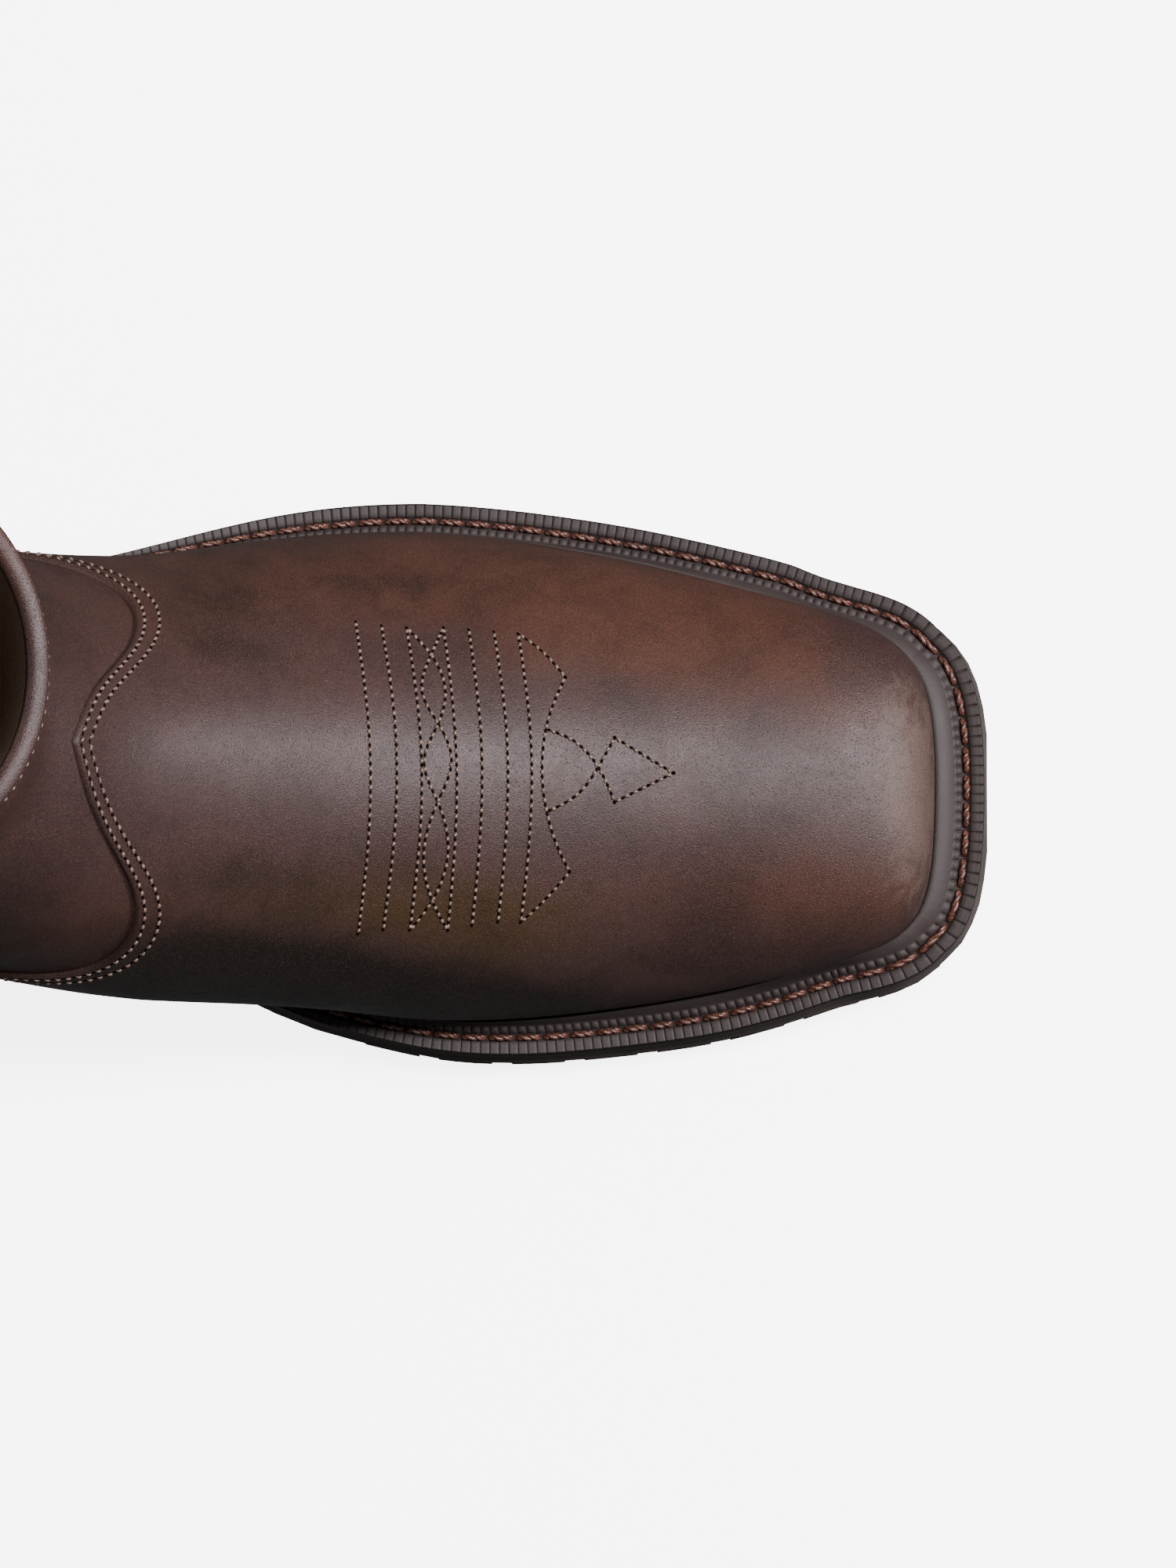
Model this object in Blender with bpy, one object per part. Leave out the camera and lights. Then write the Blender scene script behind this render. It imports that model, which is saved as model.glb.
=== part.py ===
"""Western work boot for the left foot, square toed, pulled on by two straps.

Metres, +Z up, +X towards the toe, +Y towards the outer side of the foot. The origin is
on the floor under the middle of the heel. The upper is one function of two parameters:
u runs from the toe's edge (0) over the foot, round the heel (HEEL_ROW) and up to the
collar (COLLAR_ROW), and v runs across from the outer side (-1) over the ridge (0) to the
inner side (1). Welt, sole, insole, counter, piping and straps all follow that function.
"""

import math
from collections import namedtuple

import bmesh
import bpy
import numpy as np

# Driving sizes of the last and the shaft
SOLE_LENGTH = 0.312
BALL_WIDTH = 0.117
ANKLE_HEIGHT = 0.112
SHAFT_HEIGHT = 0.135
HEEL_CENTRE_SHARE = 0.128

# Leather
UPPER_WALL = 0.0030
VAMP_STEP = 0.0010
COUNTER_THICKNESS = 0.0014
PIPING_WIDTH = 0.0036
PIPING_HEIGHT = 0.0018
INSOLE_THICKNESS = 0.0040
FIT_GAP = 0.0003
SEAT_GAP = 0.0005

# Bottom
HEEL_HEIGHT = 0.030
HEEL_LIFT_THICKNESS = 0.009
HEEL_UNDERCUT = 0.007
HEEL_SIDE_TAPER = 0.0015
BREAST_SHARE = 0.253
LUG_DEPTH = 0.004
FOREPART_THICKNESS = 0.011
SHANK_THICKNESS = 0.008
TOE_SPRING = 0.011
FLAT_START_SHARE = 0.600
FLAT_END_SHARE = 0.712
SPRING_POWER = 1.6
OUTSOLE_FLARE = 0.0010
SOLE_RIM_INSET = 0.0006
SOLE_RIM_CHAMFER = 0.0008
SOLE_RIM_DEPTH = 0.0042
SOLE_STATIONS = 54
SOLE_FINE_STATIONS = 90
HEEL_STATIONS = 24
HEEL_CURVE_POWER = 1.7

# Lugs of the forepart and grooves of the heel lift
LUG_PROUD = 0.0004
LUG_FADE_SHARE = 0.555
LUG_FIRST_SHARE = 0.575
LUG_LAST_SHARE = 0.972
LUG_PAIRS = 8
LUG_GAP = 0.0042
LUG_RIM_DEPTH = 0.024
LUG_RIM_SHARE = 0.30
LUG_SWEEP = 0.006
LUG_SIDE_RISE = 0.0045
BAR_SINK = 0.0010
LIFT_GROOVE_DEPTH = 0.0035
LIFT_GROOVE_SHARES = (0.062, 0.168, 0.214)

# Welt
WELT_THICKNESS = 0.0032
WELT_LIP_HEIGHT = 0.0036
WELT_LIP_WIDTH = 0.0034
WELT_CHANNEL_WIDTH = 0.0018
WELT_CHANNEL_DEPTH = 0.0006
WELT_END_SHARE = 0.278
SIDE_REVEAL = 0.0085
TOE_SIDE_REVEAL = 0.0108
CORNER_REVEAL = 0.0090
TOE_REVEAL = 0.0130
WAIST_REVEAL = 0.0042
SEAT_REVEAL = 0.0026
REVEAL_SHARES = (0.0, 0.26, 0.36, 0.50, 0.62, 0.86, 0.945, 0.97)
WELT_ROUNDING = 0.0008
WELT_EDGE_ROUNDING = 0.0005
WELT_BEAD_HEIGHT = 0.0006
WELT_LEAST_SHARE = 0.3
WELT_RINGS = 78
TURN_WEIGHT = 0.060
REACH_WINDOW = 0.0013

# Pull straps
STRAP_WIDTH = 0.030
STRAP_THICKNESS = 0.0022
STRAP_LOOP_HEIGHT = 0.034
STRAP_LOOP_SPREAD = 0.016
STRAP_END_ROW = 24.9

# Insole
INSOLE_CLEARANCE = 0.0020
INSOLE_STATIONS = 30

# Collar and vamp lines, as distances along u
FRONT_SCALLOP = 1.05
BACK_SCALLOP = 0.62
SCALLOP_START_ROW = 21.5
VAMP_LINE_ROW = 11.6
VAMP_LINE_REACH = 4.5

# Rows where the heel and collar lie, and how the rows blend where they turn up the heel
HEEL_ROW = 17.0
COLLAR_ROW = 27.0
SIDE_LINE = 0.5
HEEL_BLEND = 8.0
HEEL_BLEND_ROWS = 5.0
BLEND_RULE = np.polynomial.legendre.leggauss(8)
COUNTER_TOP_ROW = 21.0
COUNTER_REACH = 0.66
PIPING_TOP_ROW = 24.6

# Rows of the last. foot_x and top_x are shares of SOLE_LENGTH. A level of 0 to 1 is a share
# of ANKLE_HEIGHT above the sole, and 1 to 2 adds a share of SHAFT_HEIGHT. ridge is a share
# of BALL_WIDTH to the outer side.
Profile = namedtuple("Profile", "row foot_x foot_level top_x top_level ridge")
PROFILE = [
    Profile(0, 0.894, 0.0, 0.9620, 0.000, -0.034),
    Profile(1, 0.875, 0.0, 0.9640, 0.118, -0.034),
    Profile(2, 0.853, 0.0, 0.9550, 0.243, -0.033),
    Profile(3, 0.824, 0.0, 0.9230, 0.322, -0.032),
    Profile(5, 0.744, 0.0, 0.8080, 0.412, -0.028),
    Profile(7, 0.631, 0.0, 0.6600, 0.554, -0.022),
    Profile(9, 0.506, 0.0, 0.5350, 0.707, -0.014),
    Profile(11, 0.359, 0.0, 0.4440, 0.785, -0.006),
    Profile(13, 0.199, 0.0, 0.4010, 0.920, 0.0),
    Profile(14, 0.120, 0.0, 0.3930, 0.991, 0.0),
    Profile(15, 0.067, 0.0, 0.3900, 1.030, 0.0),
    Profile(16, 0.0285, 0.0, 0.3890, 1.063, 0.0),
    Profile(17, 0.0144, 0.0, 0.3880, 1.096, 0.0),
    Profile(19, 0.0103, 0.339, 0.3885, 1.178, 0.0),
    Profile(21, 0.0304, 0.723, 0.3920, 1.274, 0.0),
    Profile(23, 0.0288, 1.148, 0.4040, 1.444, 0.0),
    Profile(25, 0.0, 1.578, 0.4260, 1.704, 0.0),
    Profile(27, -0.0224, 2.0, 0.4490, 2.0, 0.0),
]

# Each side of a row is one cubic arc. half, out and crown are shares of BALL_WIDTH and up
# is a share of the row's own length: the arc leaves the sole at half, towards a handle
# that far out and up, and reaches the ridge along a handle as long as crown.
Side = namedtuple("Side", "row half out up crown")
OUTER_SIDE = [
    Side(0, 0.252, -0.030, 0.72, 0.235),
    Side(1, 0.268, -0.020, 0.72, 0.268),
    Side(2, 0.289, 0.006, 0.66, 0.272),
    Side(3, 0.312, 0.028, 0.57, 0.256),
    Side(5, 0.364, 0.072, 0.42, 0.222),
    Side(7, 0.399, 0.111, 0.36, 0.222),
    Side(9, 0.378, 0.128, 0.35, 0.231),
    Side(11, 0.308, 0.190, 0.36, 0.256),
    Side(13, 0.291, 0.137, 0.36, 0.325),
    Side(14, 0.282, 0.085, 0.34, 0.368),
    Side(15, 0.244, 0.145, 0.28, 0.393),
    Side(16, 0.141, 0.282, 0.18, 0.410),
    Side(17, 0.0, 0.393, 0.0, 0.419),
    Side(19, 0.0, 0.393, 0.0, 0.444),
    Side(21, 0.0, 0.359, 0.0, 0.470),
    Side(23, 0.0, 0.402, 0.0, 0.479),
    Side(25, 0.0, 0.479, 0.0, 0.513),
    Side(27, 0.0, 0.530, 0.0, 0.547),
]
INNER_SIDE = [
    Side(0, 0.320, -0.035, 0.83, 0.230),
    Side(1, 0.337, -0.018, 0.83, 0.272),
    Side(2, 0.356, 0.002, 0.76, 0.280),
    Side(3, 0.380, 0.020, 0.65, 0.266),
    Side(5, 0.418, 0.056, 0.50, 0.256),
    Side(7, 0.429, 0.094, 0.50, 0.274),
    Side(9, 0.338, 0.222, 0.47, 0.265),
    Side(11, 0.261, 0.291, 0.42, 0.282),
    Side(13, 0.278, 0.154, 0.36, 0.325),
    Side(14, 0.278, 0.085, 0.34, 0.368),
    Side(15, 0.243, 0.145, 0.28, 0.393),
    Side(16, 0.141, 0.282, 0.18, 0.410),
    Side(17, 0.0, 0.393, 0.0, 0.419),
    Side(19, 0.0, 0.393, 0.0, 0.444),
    Side(21, 0.0, 0.359, 0.0, 0.470),
    Side(23, 0.0, 0.402, 0.0, 0.479),
    Side(25, 0.0, 0.479, 0.0, 0.513),
    Side(27, 0.0, 0.530, 0.0, 0.547),
]

# The vamp's top line, as a row for each distance from the ridge, and the counter's edge,
# as a distance from the ridge for each row.
VAMP_LINE = [(0.0, 12.0), (0.12, 11.5), (0.25, 10.8), (0.40, 10.6), (0.60, 11.4),
             (0.78, 12.5), (0.88, 12.5), (1.0, 12.2)]
COUNTER_EDGE = [(12.30, 0.985), (12.45, 0.93), (12.80, 0.82), (13.5, 0.75), (14.5, 0.735),
                (16.0, 0.745), (17.5, 0.78), (19.0, 0.86), (20.3, 0.985)]
# The side seam's way down the shaft, as a distance from the ridge for each row
SEAM_LINE = [(15.2, 0.66), (16.0, 0.62), (17.5, 0.565), (20.0, 0.52), (22.5, 0.50), (27.0, 0.50)]

Finish = namedtuple("Finish", "colour roughness metallic")
FINISHES = {
    "leather": Finish((0.105, 0.058, 0.040, 1.0), 0.55, 0.0),
    "welt": Finish((0.100, 0.082, 0.075, 1.0), 0.60, 0.0),
    "rubber": Finish((0.045, 0.040, 0.037, 1.0), 0.70, 0.0),
    "stacked_heel": Finish((0.060, 0.036, 0.024, 1.0), 0.55, 0.0),
    "insole": Finish((0.110, 0.090, 0.070, 1.0), 0.85, 0.0),
    "strap": Finish((0.080, 0.048, 0.034, 1.0), 0.60, 0.0),
}


def clear_scene():
    """Removes what the file held before."""
    for obj in list(bpy.data.objects):
        bpy.data.objects.remove(obj)


def finish(name):
    """The named material, made once."""
    made = bpy.data.materials.get(name)
    if made is None:
        made = bpy.data.materials.new(name)
        made.use_nodes = True
        shader = made.node_tree.nodes["Principled BSDF"]
        shader.inputs["Base Color"].default_value = FINISHES[name].colour
        shader.inputs["Roughness"].default_value = FINISHES[name].roughness
        shader.inputs["Metallic"].default_value = FINISHES[name].metallic
    return made


def add_object(name, points, faces, material):
    """A named object from points and faces, with its faces turned outwards."""
    mesh = bpy.data.meshes.new(name)
    mesh.from_pydata([tuple(p) for p in points], [], [tuple(f) for f in faces])
    shape = bmesh.new()
    shape.from_mesh(mesh)
    bmesh.ops.remove_doubles(shape, verts=shape.verts, dist=1e-6)
    bmesh.ops.dissolve_degenerate(shape, edges=shape.edges, dist=1e-6)
    bmesh.ops.recalc_face_normals(shape, faces=shape.faces)
    shape.to_mesh(mesh)
    shape.free()
    mesh.shade_smooth()
    mesh.set_sharp_from_angle(angle=math.radians(40))
    obj = bpy.data.objects.new(name, mesh)
    obj.data.materials.append(finish(material))
    bpy.context.scene.collection.objects.link(obj)
    return obj


def smoothstep(t):
    """0 below 0, 1 above 1, and a smooth rise between."""
    t = np.clip(t, 0.0, 1.0)
    return t * t * (3.0 - 2.0 * t)


def natural_spline(knots, values):
    """The natural cubic spline through the knots, as a function of an array."""
    x = np.asarray(knots, float)
    y = np.asarray(values, float)
    h = np.diff(x)
    count = len(x)
    system = np.eye(count)
    right = np.zeros(count)
    for i in range(1, count - 1):
        system[i, i - 1:i + 2] = h[i - 1], 2.0 * (h[i - 1] + h[i]), h[i]
        right[i] = 6.0 * ((y[i + 1] - y[i]) / h[i] - (y[i] - y[i - 1]) / h[i - 1])
    bend = np.linalg.solve(system, right)

    def value(at):
        at = np.asarray(at, float)
        i = np.clip(np.searchsorted(x, at, side="right") - 1, 0, count - 2)
        a = (x[i + 1] - at) / h[i]
        b = 1.0 - a
        curve = ((a**3 - a) * bend[i] + (b**3 - b) * bend[i + 1]) * h[i] ** 2 / 6.0
        return a * y[i] + b * y[i + 1] + curve

    return value


def along(share):
    """A share of the sole's length from the back of the heel, as x."""
    return (share - HEEL_CENTRE_SHARE) * SOLE_LENGTH


def toe_lift(x):
    """How far the sole is lifted at x by the toe spring."""
    start = along(FLAT_END_SHARE)
    run = along(1.0) - start
    return TOE_SPRING * np.clip((np.asarray(x, float) - start) / run, 0.0, 1.2) ** SPRING_POWER


def arch_share(x):
    """1 under the heel, 0 at the ball, and a smooth fall between."""
    start = along(BREAST_SHARE)
    return 1.0 - smoothstep((np.asarray(x, float) - start) / (along(FLAT_START_SHARE) - start))


def sole_underside(x):
    """Height of the outsole's underside, above the lugs."""
    return LUG_DEPTH + (HEEL_HEIGHT - LUG_DEPTH) * arch_share(x) + toe_lift(x)


def sole_top(x):
    """Height of the outsole's upper face."""
    thickness = FOREPART_THICKNESS + (SHANK_THICKNESS - FOREPART_THICKNESS) * arch_share(x)
    return sole_underside(x) + thickness


def level_height(level):
    """Height above the sole for a level of 0 to 2."""
    level = np.asarray(level, float)
    return ANKLE_HEIGHT * np.minimum(level, 1.0) + SHAFT_HEIGHT * np.maximum(level - 1.0, 0.0)


class Last:
    """The upper's outer form, as a function of u and v."""

    def __init__(self):
        rows = [p.row for p in PROFILE]
        self.foot_x = natural_spline(rows, [along(p.foot_x) for p in PROFILE])
        self.top_x = natural_spline(rows, [along(p.top_x) for p in PROFILE])
        self.top_rise = natural_spline(rows, [level_height(p.top_level) for p in PROFILE])
        self.ridge = natural_spline(rows, [BALL_WIDTH * p.ridge for p in PROFILE])
        back = [p for p in PROFILE if p.row >= HEEL_ROW]
        self.back_rise = natural_spline([p.row for p in back],
                                        [level_height(p.foot_level) for p in back])
        self.sides = [self.side_splines(OUTER_SIDE), self.side_splines(INNER_SIDE)]

    @staticmethod
    def side_splines(table):
        """The splines of one side. half and up end at the back of the heel."""
        below = [s for s in table if s.row <= HEEL_ROW]
        return {
            "half": natural_spline([s.row for s in below], [BALL_WIDTH * s.half for s in below]),
            "up": natural_spline([s.row for s in below], [s.up for s in below]),
            "out": natural_spline([s.row for s in table], [BALL_WIDTH * s.out for s in table]),
            "crown": natural_spline([s.row for s in table], [BALL_WIDTH * s.crown for s in table]),
        }

    def point(self, u, v):
        """Points of the outer surface, averaged along u where the rows turn up the heel."""
        u, v = np.broadcast_arrays(np.asarray(u, float), np.asarray(v, float))
        near = smoothstep(1.0 - np.abs(u - HEEL_ROW) / HEEL_BLEND_ROWS)
        spread = HEEL_BLEND * np.abs(v) * (1.0 - np.abs(v)) * near
        total = np.zeros(u.shape + (3,))
        for place, weight in zip(*BLEND_RULE):
            total += 0.5 * weight * self.arc_point(u + place * spread, v)
        return total

    def arc_point(self, u, v):
        """Points of the rows' own arcs."""
        closed = u >= HEEL_ROW
        foot_x = self.foot_x(u)
        top_x = self.top_x(u)
        base = sole_top(foot_x) + SEAT_GAP
        foot_z = base + np.where(closed, self.back_rise(np.maximum(u, HEEL_ROW)), 0.0)
        top_z = base + toe_lift(top_x) - toe_lift(foot_x) + self.top_rise(u)
        ridge = self.ridge(u)
        end = np.where(closed, 0.0, 1.0)
        t = 1.0 - np.abs(v)
        w0, w1, w2, w3 = (1 - t) ** 3, 3 * t * (1 - t) ** 2, 3 * t * t * (1 - t), t**3
        across = np.zeros(u.shape)
        rise = np.zeros(u.shape)
        for splines, sign in zip(self.sides, (1.0, -1.0)):
            here = v < 0 if sign > 0 else v >= 0
            half = splines["half"](np.minimum(u, HEEL_ROW)) * end
            up = splines["up"](np.minimum(u, HEEL_ROW)) * end
            handle = half + splines["out"](u)
            crown = sign * ridge + splines["crown"](u)
            arc = w0 * half + w1 * handle + w2 * crown + w3 * sign * ridge
            across = np.where(here, sign * arc, across)
            rise = np.where(here, w1 * up + w2 + w3, rise)
        x = foot_x + (top_x - foot_x) * rise
        z = foot_z + (top_z - foot_z) * rise
        # The edge under the toe follows the sole's curve, and so does the row next to it.
        near_edge = np.clip(1.0 - u, 0.0, 1.0)
        z = z + near_edge * (sole_top(x) + SEAT_GAP - z) * (self.top_rise(u) < 1e-9)
        return np.stack([x, across, z], axis=-1)

    def normal(self, u, v):
        """Outward unit normals, by small differences inside the surface."""
        u, v = np.broadcast_arrays(np.asarray(u, float), np.asarray(v, float))
        step_u, step_v = 0.04, 0.004
        along_u = (self.point(np.minimum(u + step_u, COLLAR_ROW), v)
                   - self.point(np.maximum(u - step_u, 0.0), v))
        across_v = (self.point(u, np.minimum(v + step_v, 1.0))
                    - self.point(u, np.maximum(v - step_v, -1.0)))
        # Both ends of a row up the heel meet in the middle plane and share one normal.
        seam = (np.abs(v) > 1.0 - 1e-9) & (u >= HEEL_ROW - 1e-9)
        across_v = np.where(seam[..., None], [0.0, 1.0, 0.0], across_v)
        normal = np.cross(along_u, across_v)
        normal[..., 1] = np.where(seam, 0.0, normal[..., 1])
        return normal / np.linalg.norm(normal, axis=-1, keepdims=True)

    def offset(self, u, v, distance):
        """Points at a distance outside the surface, or inside it where negative."""
        distance = np.asarray(distance, float)[..., None]
        return self.point(u, v) + self.normal(u, v) * distance


LAST = Last()
vamp_line = natural_spline(*zip(*VAMP_LINE))
counter_edge = natural_spline(*zip(*COUNTER_EDGE))
seam_line = natural_spline(*zip(*SEAM_LINE))


def collar_dip(v):
    """How far the collar dips below its side peaks, in rows."""
    away = np.abs(np.abs(v) - SIDE_LINE) / SIDE_LINE
    deepest = np.where(np.abs(v) < SIDE_LINE, FRONT_SCALLOP, BACK_SCALLOP)
    return deepest * (0.5 - 0.5 * np.cos(math.pi * away))


def warped_row(row, v):
    """The row bent to follow the vamp's line and the collar's scallop."""
    pull = smoothstep(1.0 - np.abs(row - VAMP_LINE_ROW) / VAMP_LINE_REACH)
    climb = np.clip((row - SCALLOP_START_ROW) / (COLLAR_ROW - SCALLOP_START_ROW), 0.0, 1.0)
    return row + (vamp_line(np.abs(v)) - VAMP_LINE_ROW) * pull - collar_dip(v) * climb**1.5


def sheet_faces(rows, columns, skipped=()):
    """Triangles of a grid, mirrored about its middle column, without the skipped strips."""
    faces = []
    for i in range(rows - 1):
        for j in range(columns - 1):
            a = i * columns + j
            b, c, d = a + columns, a + columns + 1, a + 1
            if j in skipped:
                continue
            faces += [(a, b, c), (a, c, d)] if 2 * j < columns - 1 else [(a, b, d), (b, c, d)]
    return faces


def shell(name, outer, inner, material, skipped=()):
    """A closed wall between two grids, with rims wherever the sheet has an edge."""
    rows, columns = outer.shape[:2]
    flat_outer = outer.reshape(-1, 3)
    flat_inner = inner.reshape(-1, 3)
    _, first, welded = np.unique(np.round(flat_outer, 7), axis=0, return_index=True,
                                 return_inverse=True)
    same = first[welded.reshape(-1)]
    count = len(flat_outer)
    sheet = [tuple(int(same[k]) for k in f) for f in sheet_faces(rows, columns, skipped)]
    directed = {(f[k], f[(k + 1) % 3]) for f in sheet for k in range(3)}
    faces = list(sheet)
    faces += [tuple(k + count for k in reversed(f)) for f in sheet]
    for a, b in sorted(directed):
        if a != b and (b, a) not in directed:
            faces.append((b, a, a + count, b + count))
    used = sorted({k for f in faces for k in f})
    place = {k: n for n, k in enumerate(used)}
    points = np.vstack([flat_outer, flat_inner])[used]
    return add_object(name, points, [[place[k] for k in f] for f in faces], material)


def loft(name, rings, material):
    """A closed solid through rings of points, with a fan-free cap at each end."""
    rings = np.asarray(rings)
    count, around = rings.shape[:2]
    faces = []
    for i in range(count - 1):
        for j in range(around):
            k = (j + 1) % around
            faces.append((i * around + j, i * around + k,
                          (i + 1) * around + k, (i + 1) * around + j))
    faces.append(tuple(reversed(range(around))))
    faces.append(tuple((count - 1) * around + j for j in range(around)))
    return add_object(name, rings.reshape(-1, 3), faces, material)


def set_on_sole(grid, edge):
    """Sets the marked points of a grid down on the sole's upper face."""
    grid[..., 2] = np.where(edge, sole_top(grid[..., 0]) + SEAT_GAP, grid[..., 2])
    return grid


class Skin:
    """The upper's own grid of rows and columns, which the pieces laid on it share."""

    def __init__(self):
        edge_rows = np.linspace(0.0, 3.0, 8)
        vamp_rows = VAMP_LINE_ROW - (VAMP_LINE_ROW - 3.0) * np.linspace(1.0, 0.0, 11)[1:] ** 1.35
        step_row = VAMP_LINE_ROW + 0.03
        heel_rows = step_row + (HEEL_ROW - step_row) * np.linspace(0.0, 1.0, 11)[1:] ** 1.25
        shaft_rows = np.linspace(HEEL_ROW, COLLAR_ROW, 10)[1:]
        self.rows = np.concatenate([edge_rows, vamp_rows, [step_row], heel_rows, shaft_rows])
        self.columns = np.linspace(-1.0, 1.0, 33)
        self.row, self.v = np.meshgrid(self.rows, self.columns, indexing="ij")
        self.u = warped_row(self.row, self.v)
        self.edge = np.zeros(self.u.shape, bool)
        self.edge[0] = True
        self.edge[:, [0, -1]] = (self.row < HEEL_ROW + 1e-9)[:, [0, -1]]
        self.step = np.where(self.row > VAMP_LINE_ROW, VAMP_STEP, 0.0)
        self.outer = set_on_sole(LAST.offset(self.u, self.v, -self.step), self.edge)
        self.inner = set_on_sole(LAST.offset(self.u, self.v, 0.0 * self.u - UPPER_WALL), self.edge)
        self.normal = LAST.normal(self.u, self.v)

    def lifted(self, first, last, distance):
        """The outer grid's rows first to last, moved outwards by distance."""
        part = slice(first, last)
        return set_on_sole(self.outer[part] + distance * self.normal[part], self.edge[part])

    def place(self, row, column, distance):
        """Points at fractional grid places, moved outwards by distance, and normals there."""
        i = np.clip(np.floor(row).astype(int), 0, len(self.rows) - 2)
        j = np.clip(np.floor(column).astype(int), 0, len(self.columns) - 2)
        a, b = (row - i)[:, None], (column - j)[:, None]

        def blend(grid):
            near = grid[i, j] * (1 - b) + grid[i, j + 1] * b
            far = grid[i + 1, j] * (1 - b) + grid[i + 1, j + 1] * b
            return near * (1 - a) + far * a

        normal = blend(self.normal)
        return blend(self.outer) + distance * normal, normal


def build_upper(skin):
    """The upper: one wall, open under the foot and at the collar, thicker at the vamp."""
    return shell("upper", skin.outer, skin.inner, "leather")


def feather_curve():
    """The upper's lower edge in plan, from the heel's back round the outer side and toe."""
    side = HEEL_ROW * np.linspace(1.0, 0.0, 240)
    front = np.linspace(-1.0, 1.0, 122)[1:-1]
    u = np.concatenate([side, np.zeros(len(front)), side[::-1]])
    v = np.concatenate([-np.ones(len(side)), front, np.ones(len(side))])
    return LAST.point(u, v)[:, :2]


def outward(points):
    """Unit normals in plan, to the left of the way the points run."""
    ahead = np.gradient(points, axis=0)
    normal = np.stack([-ahead[:, 1], ahead[:, 0]], axis=-1)
    return normal / np.linalg.norm(normal, axis=1, keepdims=True)


def evenly_turned(points, count):
    """Picks count places along a plan line, closer together where it turns."""
    ahead = np.diff(points, axis=0)
    length = np.linalg.norm(ahead, axis=1)
    angle = np.unwrap(np.arctan2(ahead[:, 1], ahead[:, 0]))
    turn = np.abs(np.gradient(angle))
    travel = np.concatenate([[0.0], np.cumsum(length + TURN_WEIGHT * turn)])
    return np.unique(np.searchsorted(travel, np.linspace(0.0, travel[-1], count)))


def reveal(x):
    """How far the welt or sole stands out beyond the upper at x."""
    stops = [along(share) for share in REVEAL_SHARES]
    widths = [SEAT_REVEAL, SEAT_REVEAL, WAIST_REVEAL, 0.5 * (WAIST_REVEAL + SIDE_REVEAL),
              SIDE_REVEAL, TOE_SIDE_REVEAL, CORNER_REVEAL, TOE_REVEAL]
    return np.interp(x, stops, widths)


def sole_outline(extra, count=SOLE_STATIONS):
    """Stations x with the outer and inner side's y there, for a sole grown by extra."""
    plan = feather_curve()
    grown = plan + outward(plan) * (reveal(plan[:, 0]) + extra)[:, None]
    middle = len(plan) // 2
    tip = int(np.argmax(grown[:, 0]))
    outer, inner = grown[:tip + 1], grown[tip:][::-1]
    back = max(outer[:, 0].min(), inner[:, 0].min())
    x = back + (grown[tip, 0] - back) * 0.5 * (1.0 - np.cos(np.linspace(0.11, math.pi - 0.09, count)))
    sides = []
    for line in (outer, inner):
        start = int(np.argmin(line[:middle // 3, 0]))
        line = line[start:]
        sides.append(np.interp(x, np.maximum.accumulate(line[:, 0]), line[:, 1]))
    return x, sides[0], sides[1]


def ring_of(x, outer_y, inner_y, height):
    """A ring of points down the outer side and back along the inner side."""
    z = height(x)
    lane = [np.stack([x, outer_y, z], axis=-1), np.stack([x, inner_y, z], axis=-1)[::-1]]
    return np.vstack(lane)


def slab(name, layers, material):
    """A plate through rings of paired stations, with cross strips as its top and bottom."""
    rings = np.array([ring_of(*layer) for layer in layers])
    count, around = rings.shape[:2]
    faces = []
    for i in range(count - 1):
        for j in range(around):
            k = (j + 1) % around
            faces.append((i * around + j, i * around + k,
                          (i + 1) * around + k, (i + 1) * around + j))
    for i in (0, count - 1):
        for j in range(around // 2 - 1):
            a, b = i * around + j, i * around + around - 1 - j
            faces.append((a, a + 1, b - 1, b))
    return add_object(name, rings.reshape(-1, 3), faces, material)


def union(target, cutter, operation="UNION"):
    """Joins or cuts target with a helper that isn't rendered."""
    cutter.hide_render = True
    cutter.display_type = "WIRE"
    modifier = target.modifiers.new(operation.title(), "BOOLEAN")
    modifier.operation = operation
    modifier.object = cutter
    modifier.solver = "EXACT"


def prism(points, low, high):
    """Points and faces of an upright prism, low and high being functions of x."""
    points = np.asarray(points, float)
    count = len(points)
    bottom = np.column_stack([points, low(points[:, 0])])
    top = np.column_stack([points, high(points[:, 0])])
    faces = [tuple(reversed(range(count))), tuple(range(count, 2 * count))]
    for j in range(count):
        k = (j + 1) % count
        faces.append((j, k, count + k, count + j))
    return np.vstack([bottom, top]), faces


def joined_prisms(name, outlines, low, high, material):
    """Many prisms as one object."""
    points, faces, start = [], [], 0
    for outline in outlines:
        more, sides = prism(outline, low, high)
        points.append(more)
        faces += [tuple(k + start for k in f) for f in sides]
        start += len(more)
    return add_object(name, np.vstack(points), faces, material)


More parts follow.
